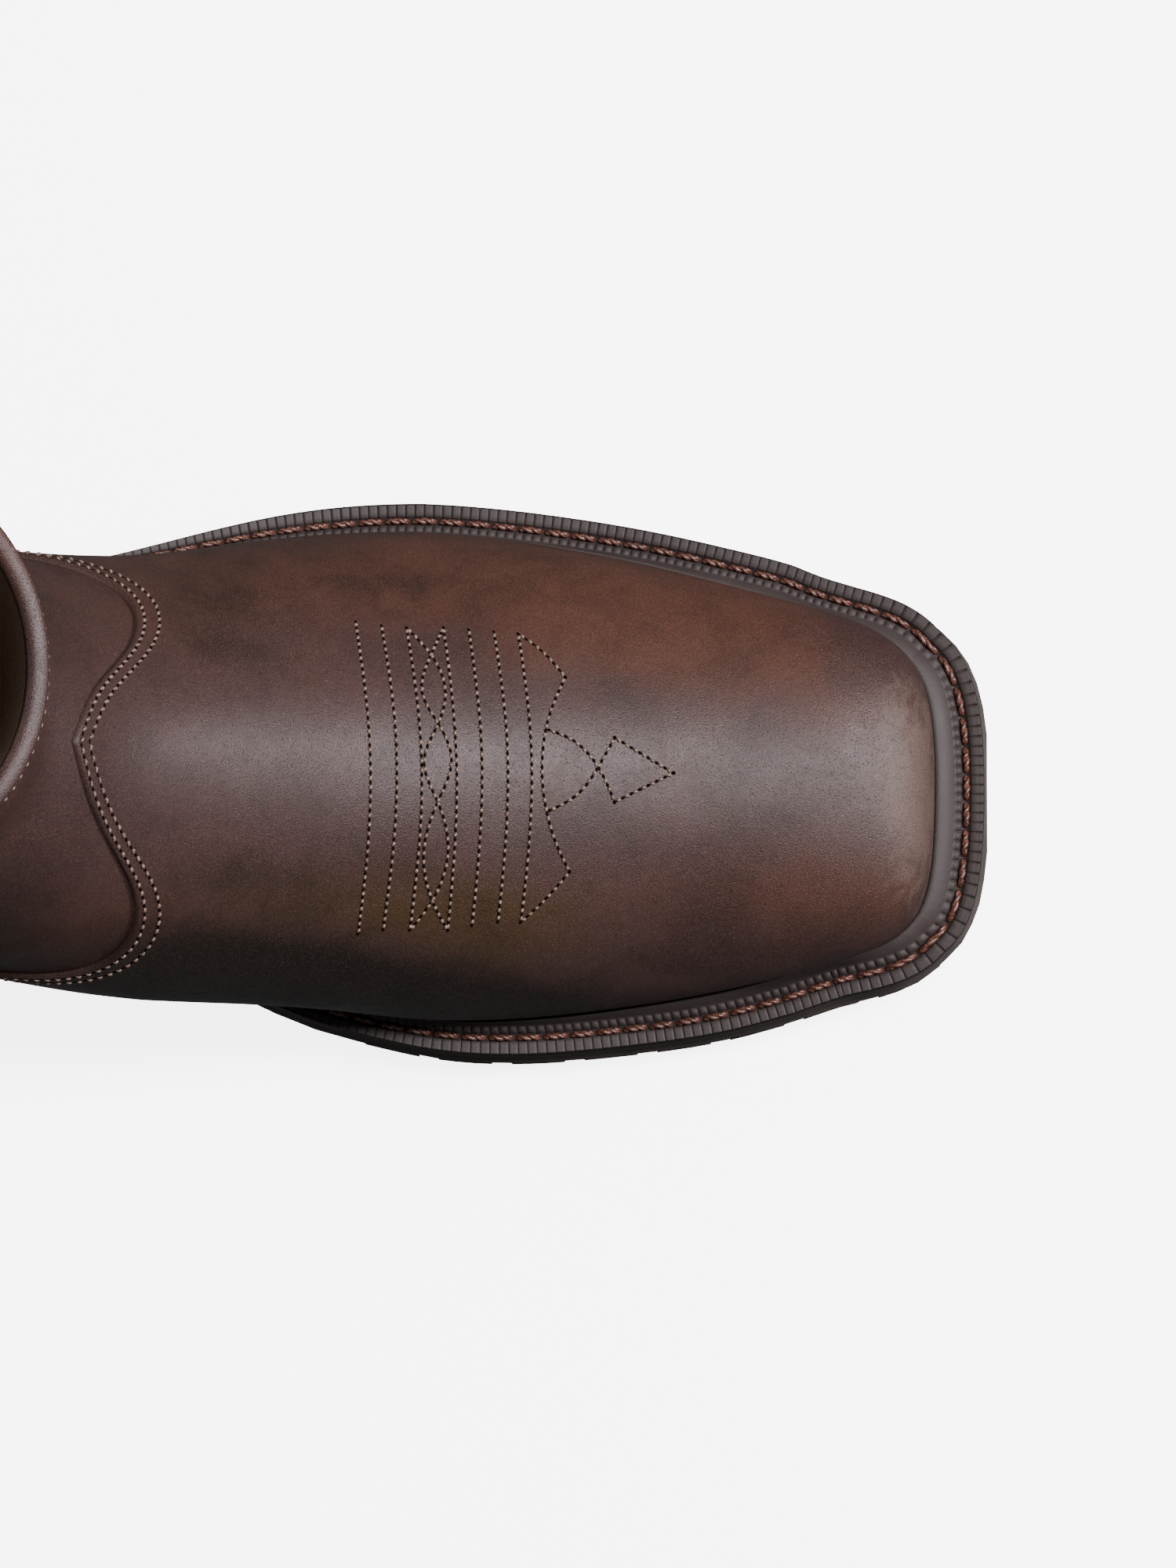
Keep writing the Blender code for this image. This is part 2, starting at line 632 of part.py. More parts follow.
def lug_outlines():
    """Plan outlines of the forepart's lugs: a block at each edge and a bar between."""
    x, outer_y, inner_y = sole_outline(OUTSOLE_FLARE + LUG_PROUD, SOLE_FINE_STATIONS)
    pitch = (along(LUG_LAST_SHARE) - along(LUG_FIRST_SHARE)) / LUG_PAIRS
    blocks, bars = [], []
    for n in range(LUG_PAIRS):
        low = along(LUG_FIRST_SHARE) + n * pitch + LUG_GAP / 2
        high = low + pitch - LUG_GAP
        edge = np.linspace(low, high, 4)
        width = np.interp(low, x, outer_y) - np.interp(low, x, inner_y)
        inward = min(LUG_RIM_DEPTH, LUG_RIM_SHARE * width)
        for line, sign in ((outer_y, 1.0), (inner_y, -1.0)):
            rim = np.column_stack([edge, np.interp(edge, x, line)])
            inner = rim[::-1] - [LUG_SWEEP, sign * inward]
            blocks.append(np.vstack([rim, inner[[0, -1]]]))
        middle = 0.5 * (np.interp(low, x, outer_y) + np.interp(low, x, inner_y))
        reach = 0.5 * width - inward - LUG_GAP
        bars.append(np.array([[low - LUG_SWEEP, middle - reach], [low, middle],
                              [low - LUG_SWEEP, middle + reach],
                              [high - LUG_SWEEP, middle + reach], [high, middle],
                              [high - LUG_SWEEP, middle - reach]]))
    return blocks, bars


def build_outsole():
    """The rubber outsole: heel seat, arch, forepart and its lugs, which rise up the side."""
    def edge(drop):
        return lambda x: sole_top(x) - drop

    layers = [
        (*sole_outline(-SOLE_RIM_INSET), edge(0.0)),
        (*sole_outline(0.0), edge(SOLE_RIM_CHAMFER)),
        (*sole_outline(0.0), edge(SOLE_RIM_DEPTH)),
        (*sole_outline(OUTSOLE_FLARE), edge(SOLE_RIM_DEPTH + SOLE_RIM_CHAMFER)),
        (*sole_outline(OUTSOLE_FLARE), sole_underside),
    ]
    body = slab("outsole", layers, "rubber")
    blocks, bars = lug_outlines()

    def tread(x):
        flat = along(FLAT_START_SHARE)
        full = smoothstep((x - along(LUG_FADE_SHARE)) / (flat - along(LUG_FADE_SHARE)))
        return sole_underside(x) - LUG_DEPTH * full

    edge_lugs = joined_prisms("edge_lugs", blocks, tread,
                              lambda x: sole_underside(x) + LUG_SIDE_RISE, "rubber")
    bar_lugs = joined_prisms("bar_lugs", bars, tread, lambda x: sole_underside(x) + BAR_SINK, "rubber")
    union(body, edge_lugs)
    union(body, bar_lugs)
    return body


def heel_outline(share_down, count=HEEL_STATIONS):
    """Plan outline of the heel, share_down from its seat (0) to the floor (1)."""
    x, outer_y, inner_y = sole_outline(0.0, SOLE_FINE_STATIONS)
    back, breast = x[0], along(BREAST_SHARE)
    keep = np.linspace(0.0, 1.0, count) ** HEEL_CURVE_POWER
    stations = back + (breast - back) * keep
    taper = HEEL_SIDE_TAPER * share_down
    low = stations + HEEL_UNDERCUT * share_down * (1.0 - keep)
    return low, np.interp(stations, x, outer_y) - taper, np.interp(stations, x, inner_y) + taper


def build_heel():
    """The stacked heel and the rubber lift under it, with a grooved tread."""
    split = 1.0 - HEEL_LIFT_THICKNESS / HEEL_HEIGHT

    def level(z):
        return lambda x: np.full(np.shape(x), z)

    stack = slab("heel_stack", [
        (*heel_outline(0.0), level(HEEL_HEIGHT - FIT_GAP)),
        (*heel_outline(0.5 * split), level(HEEL_HEIGHT - 0.5 * split * HEEL_HEIGHT)),
        (*heel_outline(split), level(HEEL_LIFT_THICKNESS + FIT_GAP)),
    ], "stacked_heel")
    lift = slab("heel_lift", [
        (*heel_outline(split), level(HEEL_LIFT_THICKNESS)),
        (*heel_outline(1.0), level(0.0)),
    ], "rubber")
    grooves = []
    for share in LIFT_GROOVE_SHARES:
        middle, half = along(share), LUG_GAP / 2
        grooves.append(np.array([[middle - half, -BALL_WIDTH], [middle + half, -BALL_WIDTH],
                                 [middle + half, BALL_WIDTH], [middle - half, BALL_WIDTH]]))
    cutter = joined_prisms("lift_grooves", grooves, level(-LUG_GAP), level(LIFT_GROOVE_DEPTH), "rubber")
    union(lift, cutter, "DIFFERENCE")
    return stack, lift


def wall_reach(plan, normals, heights):
    """How far the upper stands out from its lower edge in plan, at each height above it."""
    grid_u, grid_v = np.meshgrid(np.linspace(0.0, HEEL_ROW, 340), np.linspace(-1.0, 1.0, 321),
                                 indexing="ij")
    wall = LAST.point(grid_u, grid_v).reshape(-1, 3)
    rise = wall[:, 2] - sole_top(wall[:, 0]) - SEAT_GAP
    wall, rise = wall[rise < heights[-1] + REACH_WINDOW], rise[rise < heights[-1] + REACH_WINDOW]
    reach = np.zeros((len(plan), len(heights)))
    for n, (spot, normal) in enumerate(zip(plan, normals)):
        apart = wall[:, :2] - spot
        beside = np.abs(apart @ [-normal[1], normal[0]]) < REACH_WINDOW
        out = apart[beside] @ normal
        near = np.abs(out) < BALL_WIDTH / 4
        for k, height in enumerate(heights):
            level = near & (np.abs(rise[beside] - height) < REACH_WINDOW)
            reach[n, k] = out[level].max() if level.any() else 0.0
    kernel = np.ones(5) / 5
    for k in range(len(heights)):
        padded = np.pad(reach[:, k], 2, mode="edge")
        reach[:, k] = np.maximum(reach[:, k], np.convolve(padded, kernel, mode="valid"))
    return reach


def build_welt():
    """The storm welt: ribbed flange, stitch channel and a lip that climbs the upper."""
    plan = feather_curve()
    normals = outward(plan)
    keep = np.flatnonzero(plan[:, 0] > along(WELT_END_SHARE))
    chosen = keep[evenly_turned(plan[keep], WELT_RINGS)]
    plan, normals = plan[chosen], normals[chosen]
    top = WELT_THICKNESS
    heights = [0.0, top, top + 0.6 * WELT_LIP_HEIGHT, top + WELT_LIP_HEIGHT]
    reach = wall_reach(plan, normals, heights)
    low, mid, high, peak = (reach[:, k] + FIT_GAP for k in range(4))
    base = np.maximum(low, mid)
    full = WELT_LIP_WIDTH + WELT_CHANNEL_WIDTH
    rim = np.maximum(reveal(plan[:, 0]), base + WELT_LEAST_SHARE * full + WELT_ROUNDING)
    squeeze = np.clip((rim - WELT_ROUNDING - base) / full, 0.0, 1.0)
    lip = WELT_LIP_WIDTH * squeeze
    channel = WELT_CHANNEL_WIDTH * squeeze
    sections = [
        (base, 0.0), (rim - WELT_EDGE_ROUNDING, 0.0), (rim, WELT_EDGE_ROUNDING),
        (rim, top - WELT_EDGE_ROUNDING), (rim - WELT_EDGE_ROUNDING, top),
        (base + lip + channel, top),
        (base + lip + 0.75 * channel, top - WELT_CHANNEL_DEPTH),
        (base + lip + 0.25 * channel, top - WELT_CHANNEL_DEPTH),
        (base + lip, top + WELT_BEAD_HEIGHT),
        (np.maximum(peak, base) + 0.62 * lip, top + 0.55 * WELT_LIP_HEIGHT),
        (np.maximum(peak, high) + 0.30 * lip, top + WELT_LIP_HEIGHT),
        (np.maximum(peak, high) + 0.02 * lip, top + WELT_LIP_HEIGHT),
        (np.maximum(high, mid), top + 0.5 * WELT_LIP_HEIGHT),
    ]
    rings = []
    for n in range(len(plan)):
        ring = []
        for out, rise in sections:
            spot = plan[n] + normals[n] * out[n]
            ring.append((spot[0], spot[1], sole_top(spot[0]) + FIT_GAP + rise))
        rings.append(ring)
    return loft("welt", rings, "welt")


def build_insole():
    """The insole board inside the upper, on the outsole."""
    plan = feather_curve()
    inset = UPPER_WALL + INSOLE_CLEARANCE
    moved = plan - outward(plan) * inset
    tip = int(np.argmax(moved[:, 0]))
    outer, inner = moved[:tip + 1], moved[tip:][::-1]
    back = max(outer[:, 0].min(), inner[:, 0].min())
    turn = np.linspace(0.11, math.pi - 0.09, INSOLE_STATIONS)
    x = back + (moved[tip, 0] - back) * 0.5 * (1.0 - np.cos(turn))
    sides = [np.interp(x, np.maximum.accumulate(line[:, 0]), line[:, 1]) for line in (outer, inner)]
    return slab("insole", [
        (x, sides[0], sides[1], lambda s: sole_top(s) + FIT_GAP + INSOLE_THICKNESS),
        (x, sides[0], sides[1], lambda s: sole_top(s) + FIT_GAP),
    ], "insole")


def build_counter(skin):
    """The heel counter: a second layer round the heel, cut to its outline from the side."""
    first = int(np.searchsorted(skin.rows, VAMP_LINE_ROW)) + 1
    last = int(np.searchsorted(skin.rows, COUNTER_TOP_ROW)) + 1
    skipped = np.flatnonzero(np.abs(skin.columns[:-1] + skin.columns[1:]) < 2 * COUNTER_REACH)
    layer = shell("counter", skin.lifted(first, last, FIT_GAP + COUNTER_THICKNESS),
                  skin.lifted(first, last, FIT_GAP), "leather", skipped)
    u = np.linspace(COUNTER_EDGE[0][0], COUNTER_EDGE[-1][0], 24)
    line = LAST.point(u, counter_edge(u))[:, [0, 2]]
    low, behind = -SHAFT_HEIGHT, along(0.0) - SHAFT_HEIGHT
    outline = np.vstack([[line[0, 0], low], line, [behind, line[-1, 1]], [behind, low]])
    count = len(outline)
    points = [(x, y, z) for y in (-BALL_WIDTH, BALL_WIDTH) for x, z in outline]
    faces = [tuple(range(count)), tuple(reversed(range(count, 2 * count)))]
    faces += [(j, (j + 1) % count, count + (j + 1) % count, count + j) for j in range(count)]
    union(layer, add_object("counter_outline", points, faces, "leather"), "INTERSECT")
    return layer


def build_piping(skin, name, sign):
    """The bead of leather down one side seam, from the strap's end to the counter."""
    row = np.linspace(PIPING_TOP_ROW, SEAM_LINE[0][0], 24)
    at_row = np.interp(row, skin.rows, np.arange(len(skin.rows)))
    at_column = np.interp(sign * seam_line(row), skin.columns, np.arange(len(skin.columns)))
    spine, up = skin.place(at_row, at_column, 0.0)
    ahead = np.gradient(spine, axis=0)
    ahead /= np.linalg.norm(ahead, axis=1, keepdims=True)
    side = np.cross(ahead, up)
    half = PIPING_WIDTH / 2
    section = [(-half, SEAT_GAP), (half, SEAT_GAP), (0.72 * half, 0.72 * PIPING_HEIGHT + SEAT_GAP),
               (0.0, PIPING_HEIGHT + SEAT_GAP), (-0.72 * half, 0.72 * PIPING_HEIGHT + SEAT_GAP)]
    rings = [[spine[n] + side[n] * a + up[n] * b for a, b in section] for n in range(len(row))]
    return loft(name, rings, "leather")


def build_strap(name, sign):
    """A pull strap: sewn on outside and inside the collar, with its loop above."""
    reach = 0.5 * STRAP_WIDTH
    level = np.linspace(STRAP_END_ROW, COLLAR_ROW, 4)
    bend = np.linspace(0.0, 1.0, 13)[1:-1]
    columns_path, columns_cover = [], []
    for offset_x in np.linspace(-reach, reach, 5):
        v = sign * side_parameter(level, offset_x)
        u = warped_row(level, v)
        normal = LAST.normal(u, v)
        outside = LAST.point(u, v) + normal * (FIT_GAP - VAMP_STEP)
        inside = LAST.point(u, v) - normal * (UPPER_WALL + FIT_GAP)
        top_out, top_in, out = outside[-1], inside[-1], normal[-1]
        up = np.array([0.0, 0.0, STRAP_LOOP_HEIGHT])
        handle_out = top_out + up + out * STRAP_LOOP_SPREAD
        handle_in = top_in + up - out * STRAP_LOOP_SPREAD
        t = bend[:, None]
        loop = ((1 - t) ** 3 * top_out + 3 * t * (1 - t) ** 2 * handle_out
                + 3 * t * t * (1 - t) * handle_in + t**3 * top_in)
        path = np.vstack([outside, loop, inside[::-1]])
        ahead = np.gradient(path, axis=0)
        away = np.cross(ahead, [-sign, 0.0, 0.0])
        away /= np.linalg.norm(away, axis=1, keepdims=True)
        columns_path.append(path)
        columns_cover.append(path + away * STRAP_THICKNESS)
    inner = np.stack(columns_path, axis=1)
    outer = np.stack(columns_cover, axis=1)
    return shell(name, outer, inner, "strap")


def side_parameter(level, offset_x):
    """v on the shaft's side, moved along x from the side line by offset_x."""
    guess = np.linspace(0.2, 0.8, 61)
    chosen = []
    for row in level:
        line = LAST.point(np.full(guess.shape, row), guess)[:, 0]
        middle = np.interp(SIDE_LINE, guess, line)
        chosen.append(np.interp(-(middle + offset_x), -line, guess))
    return np.array(chosen)


def main():
    """Builds every piece of the boot."""
    clear_scene()
    skin = Skin()
    build_upper(skin)
    build_insole()
    build_welt()
    build_outsole()
    build_heel()
    build_counter(skin)
    build_piping(skin, "piping_outer", -1.0)
    build_piping(skin, "piping_inner", 1.0)
    build_strap("pull_strap_outer", -1.0)
    build_strap("pull_strap_inner", 1.0)


main()
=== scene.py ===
"""Dresses the left western work boot: leather, lining, stitching, welt, thread and sole.

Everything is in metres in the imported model's frame: +X to the toe, +Y to the outer side of
the foot, +Z up. The upper is one function of u (toe edge to collar) and v (outer side -1,
ridge 0, inner side 1), and every soft piece is laid out on it.
"""

import logging
import math
from dataclasses import dataclass, field
from enum import Enum
from typing import Callable, Sequence

import bmesh
import bpy
import numpy as np
from mathutils import Matrix, Vector


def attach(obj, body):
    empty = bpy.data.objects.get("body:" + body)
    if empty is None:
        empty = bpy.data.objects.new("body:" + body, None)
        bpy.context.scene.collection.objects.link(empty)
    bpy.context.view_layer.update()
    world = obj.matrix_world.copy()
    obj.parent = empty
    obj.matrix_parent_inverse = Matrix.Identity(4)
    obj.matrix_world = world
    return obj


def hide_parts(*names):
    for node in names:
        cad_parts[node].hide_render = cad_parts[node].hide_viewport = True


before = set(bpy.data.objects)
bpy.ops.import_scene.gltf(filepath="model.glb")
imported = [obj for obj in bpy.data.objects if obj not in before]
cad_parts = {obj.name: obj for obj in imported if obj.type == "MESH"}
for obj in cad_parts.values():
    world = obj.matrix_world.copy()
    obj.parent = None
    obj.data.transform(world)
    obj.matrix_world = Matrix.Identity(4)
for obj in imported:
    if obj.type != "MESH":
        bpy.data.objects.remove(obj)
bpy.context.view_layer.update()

log = logging.getLogger("boot")
Array = np.ndarray
UP = np.array([0.0, 0.0, 1.0])
SIX_TURNS = np.linspace(0.0, 2.0 * math.pi, 7)[:-1]

# Driving sizes, as in the part
SOLE_LENGTH = 0.312
BALL_WIDTH = 0.117
ANKLE_HEIGHT = 0.112
SHAFT_HEIGHT = 0.135
HEEL_CENTRE_SHARE = 0.128
UPPER_WALL = 0.0030
VAMP_STEP = 0.0010
COUNTER_THICKNESS = 0.0014
FIT_GAP = 0.0003
SEAT_GAP = 0.0005
HEEL_HEIGHT = 0.030
BREAST_SHARE = 0.253
LUG_DEPTH = 0.004
FOREPART_THICKNESS = 0.011
SHANK_THICKNESS = 0.008
TOE_SPRING = 0.011
FLAT_START_SHARE = 0.600
FLAT_END_SHARE = 0.712
SPRING_POWER = 1.6
VAMP_LINE_ROW = 11.6
VAMP_LINE_REACH = 4.5
SCALLOP_START_ROW = 21.5
FRONT_SCALLOP = 1.05
BACK_SCALLOP = 0.62
SIDE_LINE = 0.5
HEEL_ROW = 17.0
COLLAR_ROW = 27.0
HEEL_BLEND = 8.0
HEEL_BLEND_ROWS = 5.0
BLEND_RULE = np.polynomial.legendre.leggauss(8)
INSTEP_SWAY = 0.0030
INSTEP_SWAY_PLACE = 0.092
OUTSOLE_FLARE = 0.0010
RIM_GAP = 0.0003
RIM_TRIM = 0.0009
RIM_TRIM_END = 0.262

# The picture's camera
PICTURE_SIZE = (1500.0, 2000.0)
CAMERA_SENSOR = 36.0
CAMERA_LENS = 142.0
CAMERA_LEAN = 4.0
CAMERA_DISTANCE = 1.3
CAMERA_TARGET = (0.1887, -0.003, 0.024)

# Rows of the last: row, foot x, foot level, top x, top level, ridge
PROFILE = np.array([
    (0, 0.894, 0.0, 0.9620, 0.000, -0.034), (1, 0.875, 0.0, 0.9640, 0.118, -0.034),
    (2, 0.853, 0.0, 0.9550, 0.243, -0.033), (3, 0.824, 0.0, 0.9230, 0.322, -0.032),
    (5, 0.744, 0.0, 0.8080, 0.412, -0.028), (7, 0.631, 0.0, 0.6600, 0.554, -0.022),
    (9, 0.506, 0.0, 0.5350, 0.707, -0.014), (11, 0.359, 0.0, 0.4440, 0.785, -0.006),
    (13, 0.199, 0.0, 0.4010, 0.920, 0.0), (14, 0.120, 0.0, 0.3930, 0.991, 0.0),
    (15, 0.067, 0.0, 0.3900, 1.030, 0.0), (16, 0.0285, 0.0, 0.3890, 1.063, 0.0),
    (17, 0.0144, 0.0, 0.3880, 1.096, 0.0), (19, 0.0103, 0.339, 0.3885, 1.178, 0.0),
    (21, 0.0304, 0.723, 0.3920, 1.274, 0.0), (23, 0.0288, 1.148, 0.4040, 1.444, 0.0),
    (25, 0.0, 1.578, 0.4260, 1.704, 0.0), (27, -0.0224, 2.0, 0.4490, 2.0, 0.0)])

# Each side's arc by row: half, out, up, crown; from row 17 on both sides are the same
BACK_ARC = ((17, 0.0, 0.393, 0.0, 0.419), (19, 0.0, 0.393, 0.0, 0.444),
            (21, 0.0, 0.359, 0.0, 0.470), (23, 0.0, 0.402, 0.0, 0.479),
            (25, 0.0, 0.479, 0.0, 0.513), (27, 0.0, 0.530, 0.0, 0.547))
OUTER_SIDE = np.array([
    (0, 0.252, -0.040, 0.72, 0.235), (1, 0.268, -0.042, 0.72, 0.266),
    (2, 0.289, -0.018, 0.66, 0.270), (3, 0.312, 0.012, 0.57, 0.256),
    (5, 0.364, 0.072, 0.42, 0.222), (7, 0.399, 0.111, 0.36, 0.222),
    (9, 0.378, 0.128, 0.35, 0.231), (11, 0.308, 0.190, 0.36, 0.256),
    (13, 0.291, 0.137, 0.36, 0.325), (14, 0.282, 0.085, 0.34, 0.368),
    (15, 0.244, 0.145, 0.28, 0.393), (16, 0.141, 0.282, 0.18, 0.410), *BACK_ARC])
INNER_SIDE = np.array([
    (0, 0.320, -0.035, 0.83, 0.230), (1, 0.337, -0.018, 0.83, 0.272),
    (2, 0.356, 0.002, 0.76, 0.280), (3, 0.380, 0.020, 0.65, 0.266),
    (5, 0.418, 0.056, 0.50, 0.256), (7, 0.429, 0.094, 0.50, 0.274),
    (9, 0.338, 0.222, 0.47, 0.265), (11, 0.261, 0.291, 0.42, 0.282),
    (13, 0.278, 0.154, 0.36, 0.325), (14, 0.278, 0.085, 0.34, 0.368),
    (15, 0.243, 0.145, 0.28, 0.393), (16, 0.141, 0.282, 0.18, 0.410), *BACK_ARC])

VAMP_LINE = np.array([(0.0, 12.0), (0.12, 11.5), (0.25, 10.8), (0.40, 10.6), (0.60, 11.4),
                      (0.78, 12.5), (0.88, 12.5), (1.0, 12.2)])
COUNTER_EDGE = np.array([(12.30, 0.985), (12.45, 0.93), (12.80, 0.82), (13.5, 0.75),
                         (14.5, 0.735), (16.0, 0.745), (17.5, 0.78), (19.0, 0.86),
                         (20.3, 0.985)])
SEAM_LINE = np.array([(15.2, 0.66), (16.0, 0.62), (17.5, 0.565), (20.0, 0.52),
                      (22.5, 0.50), (27.0, 0.50)])


def smoothstep(t: Array) -> Array:
    """0 below 0, 1 above 1, and t squared times (3 - 2t) between."""
    t = np.clip(t, 0.0, 1.0)
    return t * t * (3.0 - 2.0 * t)


def bump_of(distance: Array, reach: float) -> Array:
    """1 at no distance, falling as a bell to nearly 0 past twice the reach."""
    return np.exp(-((distance / reach) ** 2))


def unit(vectors: Array) -> Array:
    """The vectors at length 1."""
    return vectors / np.linalg.norm(vectors, axis=-1, keepdims=True)


def grid_of(rows: Array, columns: Array) -> list[Array]:
    """The rows' and the columns' values at every place of a grid."""
    return np.meshgrid(rows, columns, indexing="ij")


def natural_spline(knots: Array, values: Array) -> Callable[[Array], Array]:
    """The natural cubic spline through the knots.

    Args:
        knots: rising places.
        values: one value for each place.

    Returns:
        The spline as a function of an array.
    """
    x, y = np.asarray(knots, float), np.asarray(values, float)
    h = np.diff(x)
    count = len(x)
    system, right = np.eye(count), np.zeros(count)
    inner = np.arange(1, count - 1)
    system[inner, inner - 1], system[inner, inner + 1] = h[:-1], h[1:]
    system[inner, inner] = 2.0 * (h[:-1] + h[1:])
    right[1:-1] = 6.0 * (np.diff(y)[1:] / h[1:] - np.diff(y)[:-1] / h[:-1])
    bend = np.linalg.solve(system, right)

    def value(at: Array) -> Array:
        """The spline's value there."""
        at = np.asarray(at, float)
        i = np.clip(np.searchsorted(x, at, side="right") - 1, 0, count - 2)
        a = (x[i + 1] - at) / h[i]
        b = 1.0 - a
        curve = ((a**3 - a) * bend[i] + (b**3 - b) * bend[i + 1]) * h[i] ** 2 / 6.0
        return a * y[i] + b * y[i + 1] + curve

    return value


def along(share: Array) -> Array:
    """A share of the sole's length from the back of the heel, as x."""
    return (share - HEEL_CENTRE_SHARE) * SOLE_LENGTH


def toe_lift(x: Array) -> Array:
    """How far the toe spring lifts the sole at x."""
    start = along(FLAT_END_SHARE)
    run = along(1.0) - start
    return TOE_SPRING * np.clip((np.asarray(x, float) - start) / run, 0.0, 1.2) ** SPRING_POWER


def arch_share(x: Array) -> Array:
    """1 under the heel, 0 at the ball, and a smooth fall between."""
    start = along(BREAST_SHARE)
    return 1.0 - smoothstep((np.asarray(x, float) - start) / (along(FLAT_START_SHARE) - start))


def sole_top(x: Array) -> Array:
    """Height of the outsole's upper face at x."""
    arch = arch_share(x)
    under = LUG_DEPTH + (HEEL_HEIGHT - LUG_DEPTH) * arch + toe_lift(x)
    return under + FOREPART_THICKNESS + (SHANK_THICKNESS - FOREPART_THICKNESS) * arch


def level_height(level: Array) -> Array:
    """Height above the sole for a level of 0 to 2."""
    return ANKLE_HEIGHT * np.minimum(level, 1.0) + SHAFT_HEIGHT * np.maximum(level - 1.0, 0.0)


class Last:
    """The upper's outer form as a function of u and v."""

    def __init__(self) -> None:
        """Fits the splines through the rows."""
        rows = PROFILE[:, 0]
        self.foot_x = natural_spline(rows, along(PROFILE[:, 1]))
        self.top_x = natural_spline(rows, along(PROFILE[:, 3]))
        self.top_rise = natural_spline(rows, level_height(PROFILE[:, 4]))
        self.ridge = natural_spline(rows, BALL_WIDTH * PROFILE[:, 5])
        back = PROFILE[rows >= HEEL_ROW]
        self.back_rise = natural_spline(back[:, 0], level_height(back[:, 2]))
        self.sides = [self.side_splines(OUTER_SIDE), self.side_splines(INNER_SIDE)]

    @staticmethod
    def side_splines(table: Array) -> dict[str, Callable[[Array], Array]]:
        """The splines of one side; half and up end at the back of the heel."""
        below = table[table[:, 0] <= HEEL_ROW]
        return {
            "half": natural_spline(below[:, 0], BALL_WIDTH * below[:, 1]),
            "up": natural_spline(below[:, 0], below[:, 3]),
            "out": natural_spline(table[:, 0], BALL_WIDTH * table[:, 2]),
            "crown": natural_spline(table[:, 0], BALL_WIDTH * table[:, 4]),
        }

    def arc_point(self, u: Array, v: Array) -> Array:
        """Points of the rows' own cubic arcs, from the sole's edge to the ridge."""
        closed = u >= HEEL_ROW
        foot_x, top_x = self.foot_x(u), self.top_x(u)
        base = sole_top(foot_x) + SEAT_GAP
        foot_z = base + np.where(closed, self.back_rise(np.maximum(u, HEEL_ROW)), 0.0)
        top_z = base + toe_lift(top_x) - toe_lift(foot_x) + self.top_rise(u)
        ridge = self.ridge(u)
        end = np.where(closed, 0.0, 1.0)
        t = 1.0 - np.abs(v)
        w0, w1, w2, w3 = (1 - t) ** 3, 3 * t * (1 - t) ** 2, 3 * t * t * (1 - t), t**3
        across, rise = np.zeros(u.shape), np.zeros(u.shape)
        for splines, sign in zip(self.sides, (1.0, -1.0)):
            here = v < 0 if sign > 0 else v >= 0
            half = splines["half"](np.minimum(u, HEEL_ROW)) * end
            up = splines["up"](np.minimum(u, HEEL_ROW)) * end
            crown = sign * ridge + splines["crown"](u)
            arc = w0 * half + w1 * (half + splines["out"](u)) + w2 * crown + w3 * sign * ridge
            across = np.where(here, sign * arc, across)
            rise = np.where(here, w1 * up + w2 + w3, rise)
        x = foot_x + (top_x - foot_x) * rise
        z = foot_z + (top_z - foot_z) * rise
        near_edge = np.clip(1.0 - u, 0.0, 1.0)
        z = z + near_edge * (sole_top(x) + SEAT_GAP - z) * (self.top_rise(u) < 1e-9)
        return np.stack([x, across, z], axis=-1)

    def point(self, u: Array, v: Array) -> Array:
        """Points of the outer surface, averaged along u where the rows turn up the heel."""
        u, v = np.broadcast_arrays(np.asarray(u, float), np.asarray(v, float))
        near = smoothstep(1.0 - np.abs(u - HEEL_ROW) / HEEL_BLEND_ROWS)
        spread = HEEL_BLEND * np.abs(v) * (1.0 - np.abs(v)) * near
        total = np.zeros(u.shape + (3,))
        for place, weight in zip(*BLEND_RULE):
            total += 0.5 * weight * self.arc_point(u + place * spread, v)
        total[..., 1] -= self.sway(total)
        return total

    @staticmethod
    def sway(points: Array) -> Array:
        """How far the instep leans to the inner side: a bell along x that grows with the
        height above the sole and is gone at the ankle."""
        rise = points[..., 2] - sole_top(points[..., 0])
        grown = smoothstep(rise / 0.030) * (1.0 - smoothstep((rise - 0.085) / 0.05))
        return INSTEP_SWAY * bump_of(points[..., 0] - INSTEP_SWAY_PLACE, 0.032) * grown

    def normal(self, u: Array, v: Array) -> Array:
        """Outward unit normals, from small differences inside the surface."""
        u, v = np.broadcast_arrays(np.asarray(u, float), np.asarray(v, float))
        step_u, step_v = 0.04, 0.004
        along_u = (self.point(np.minimum(u + step_u, COLLAR_ROW), v)
                   - self.point(np.maximum(u - step_u, 0.0), v))
        across_v = (self.point(u, np.minimum(v + step_v, 1.0))
                    - self.point(u, np.maximum(v - step_v, -1.0)))
        seam = (np.abs(v) > 1.0 - 1e-9) & (u >= HEEL_ROW - 1e-9)
        across_v = np.where(seam[..., None], [0.0, 1.0, 0.0], across_v)
        normal = np.cross(along_u, across_v)
        normal[..., 1] = np.where(seam, 0.0, normal[..., 1])
        return unit(normal)

    def surface(self, u: Array, v: Array) -> tuple[Array, Array]:
        """Points of the outer surface and their outward normals."""
        return self.point(u, v), self.normal(u, v)

    def offset(self, u: Array, v: Array, distance: Array | float) -> Array:
        """Points at a distance outside the surface, or inside it where negative."""
        points, normals = self.surface(u, v)
        return points + normals * np.asarray(distance, float)[..., None]


LAST = Last()
vamp_line, counter_edge, seam_line = (natural_spline(*table.T)
                                      for table in (VAMP_LINE, COUNTER_EDGE, SEAM_LINE))


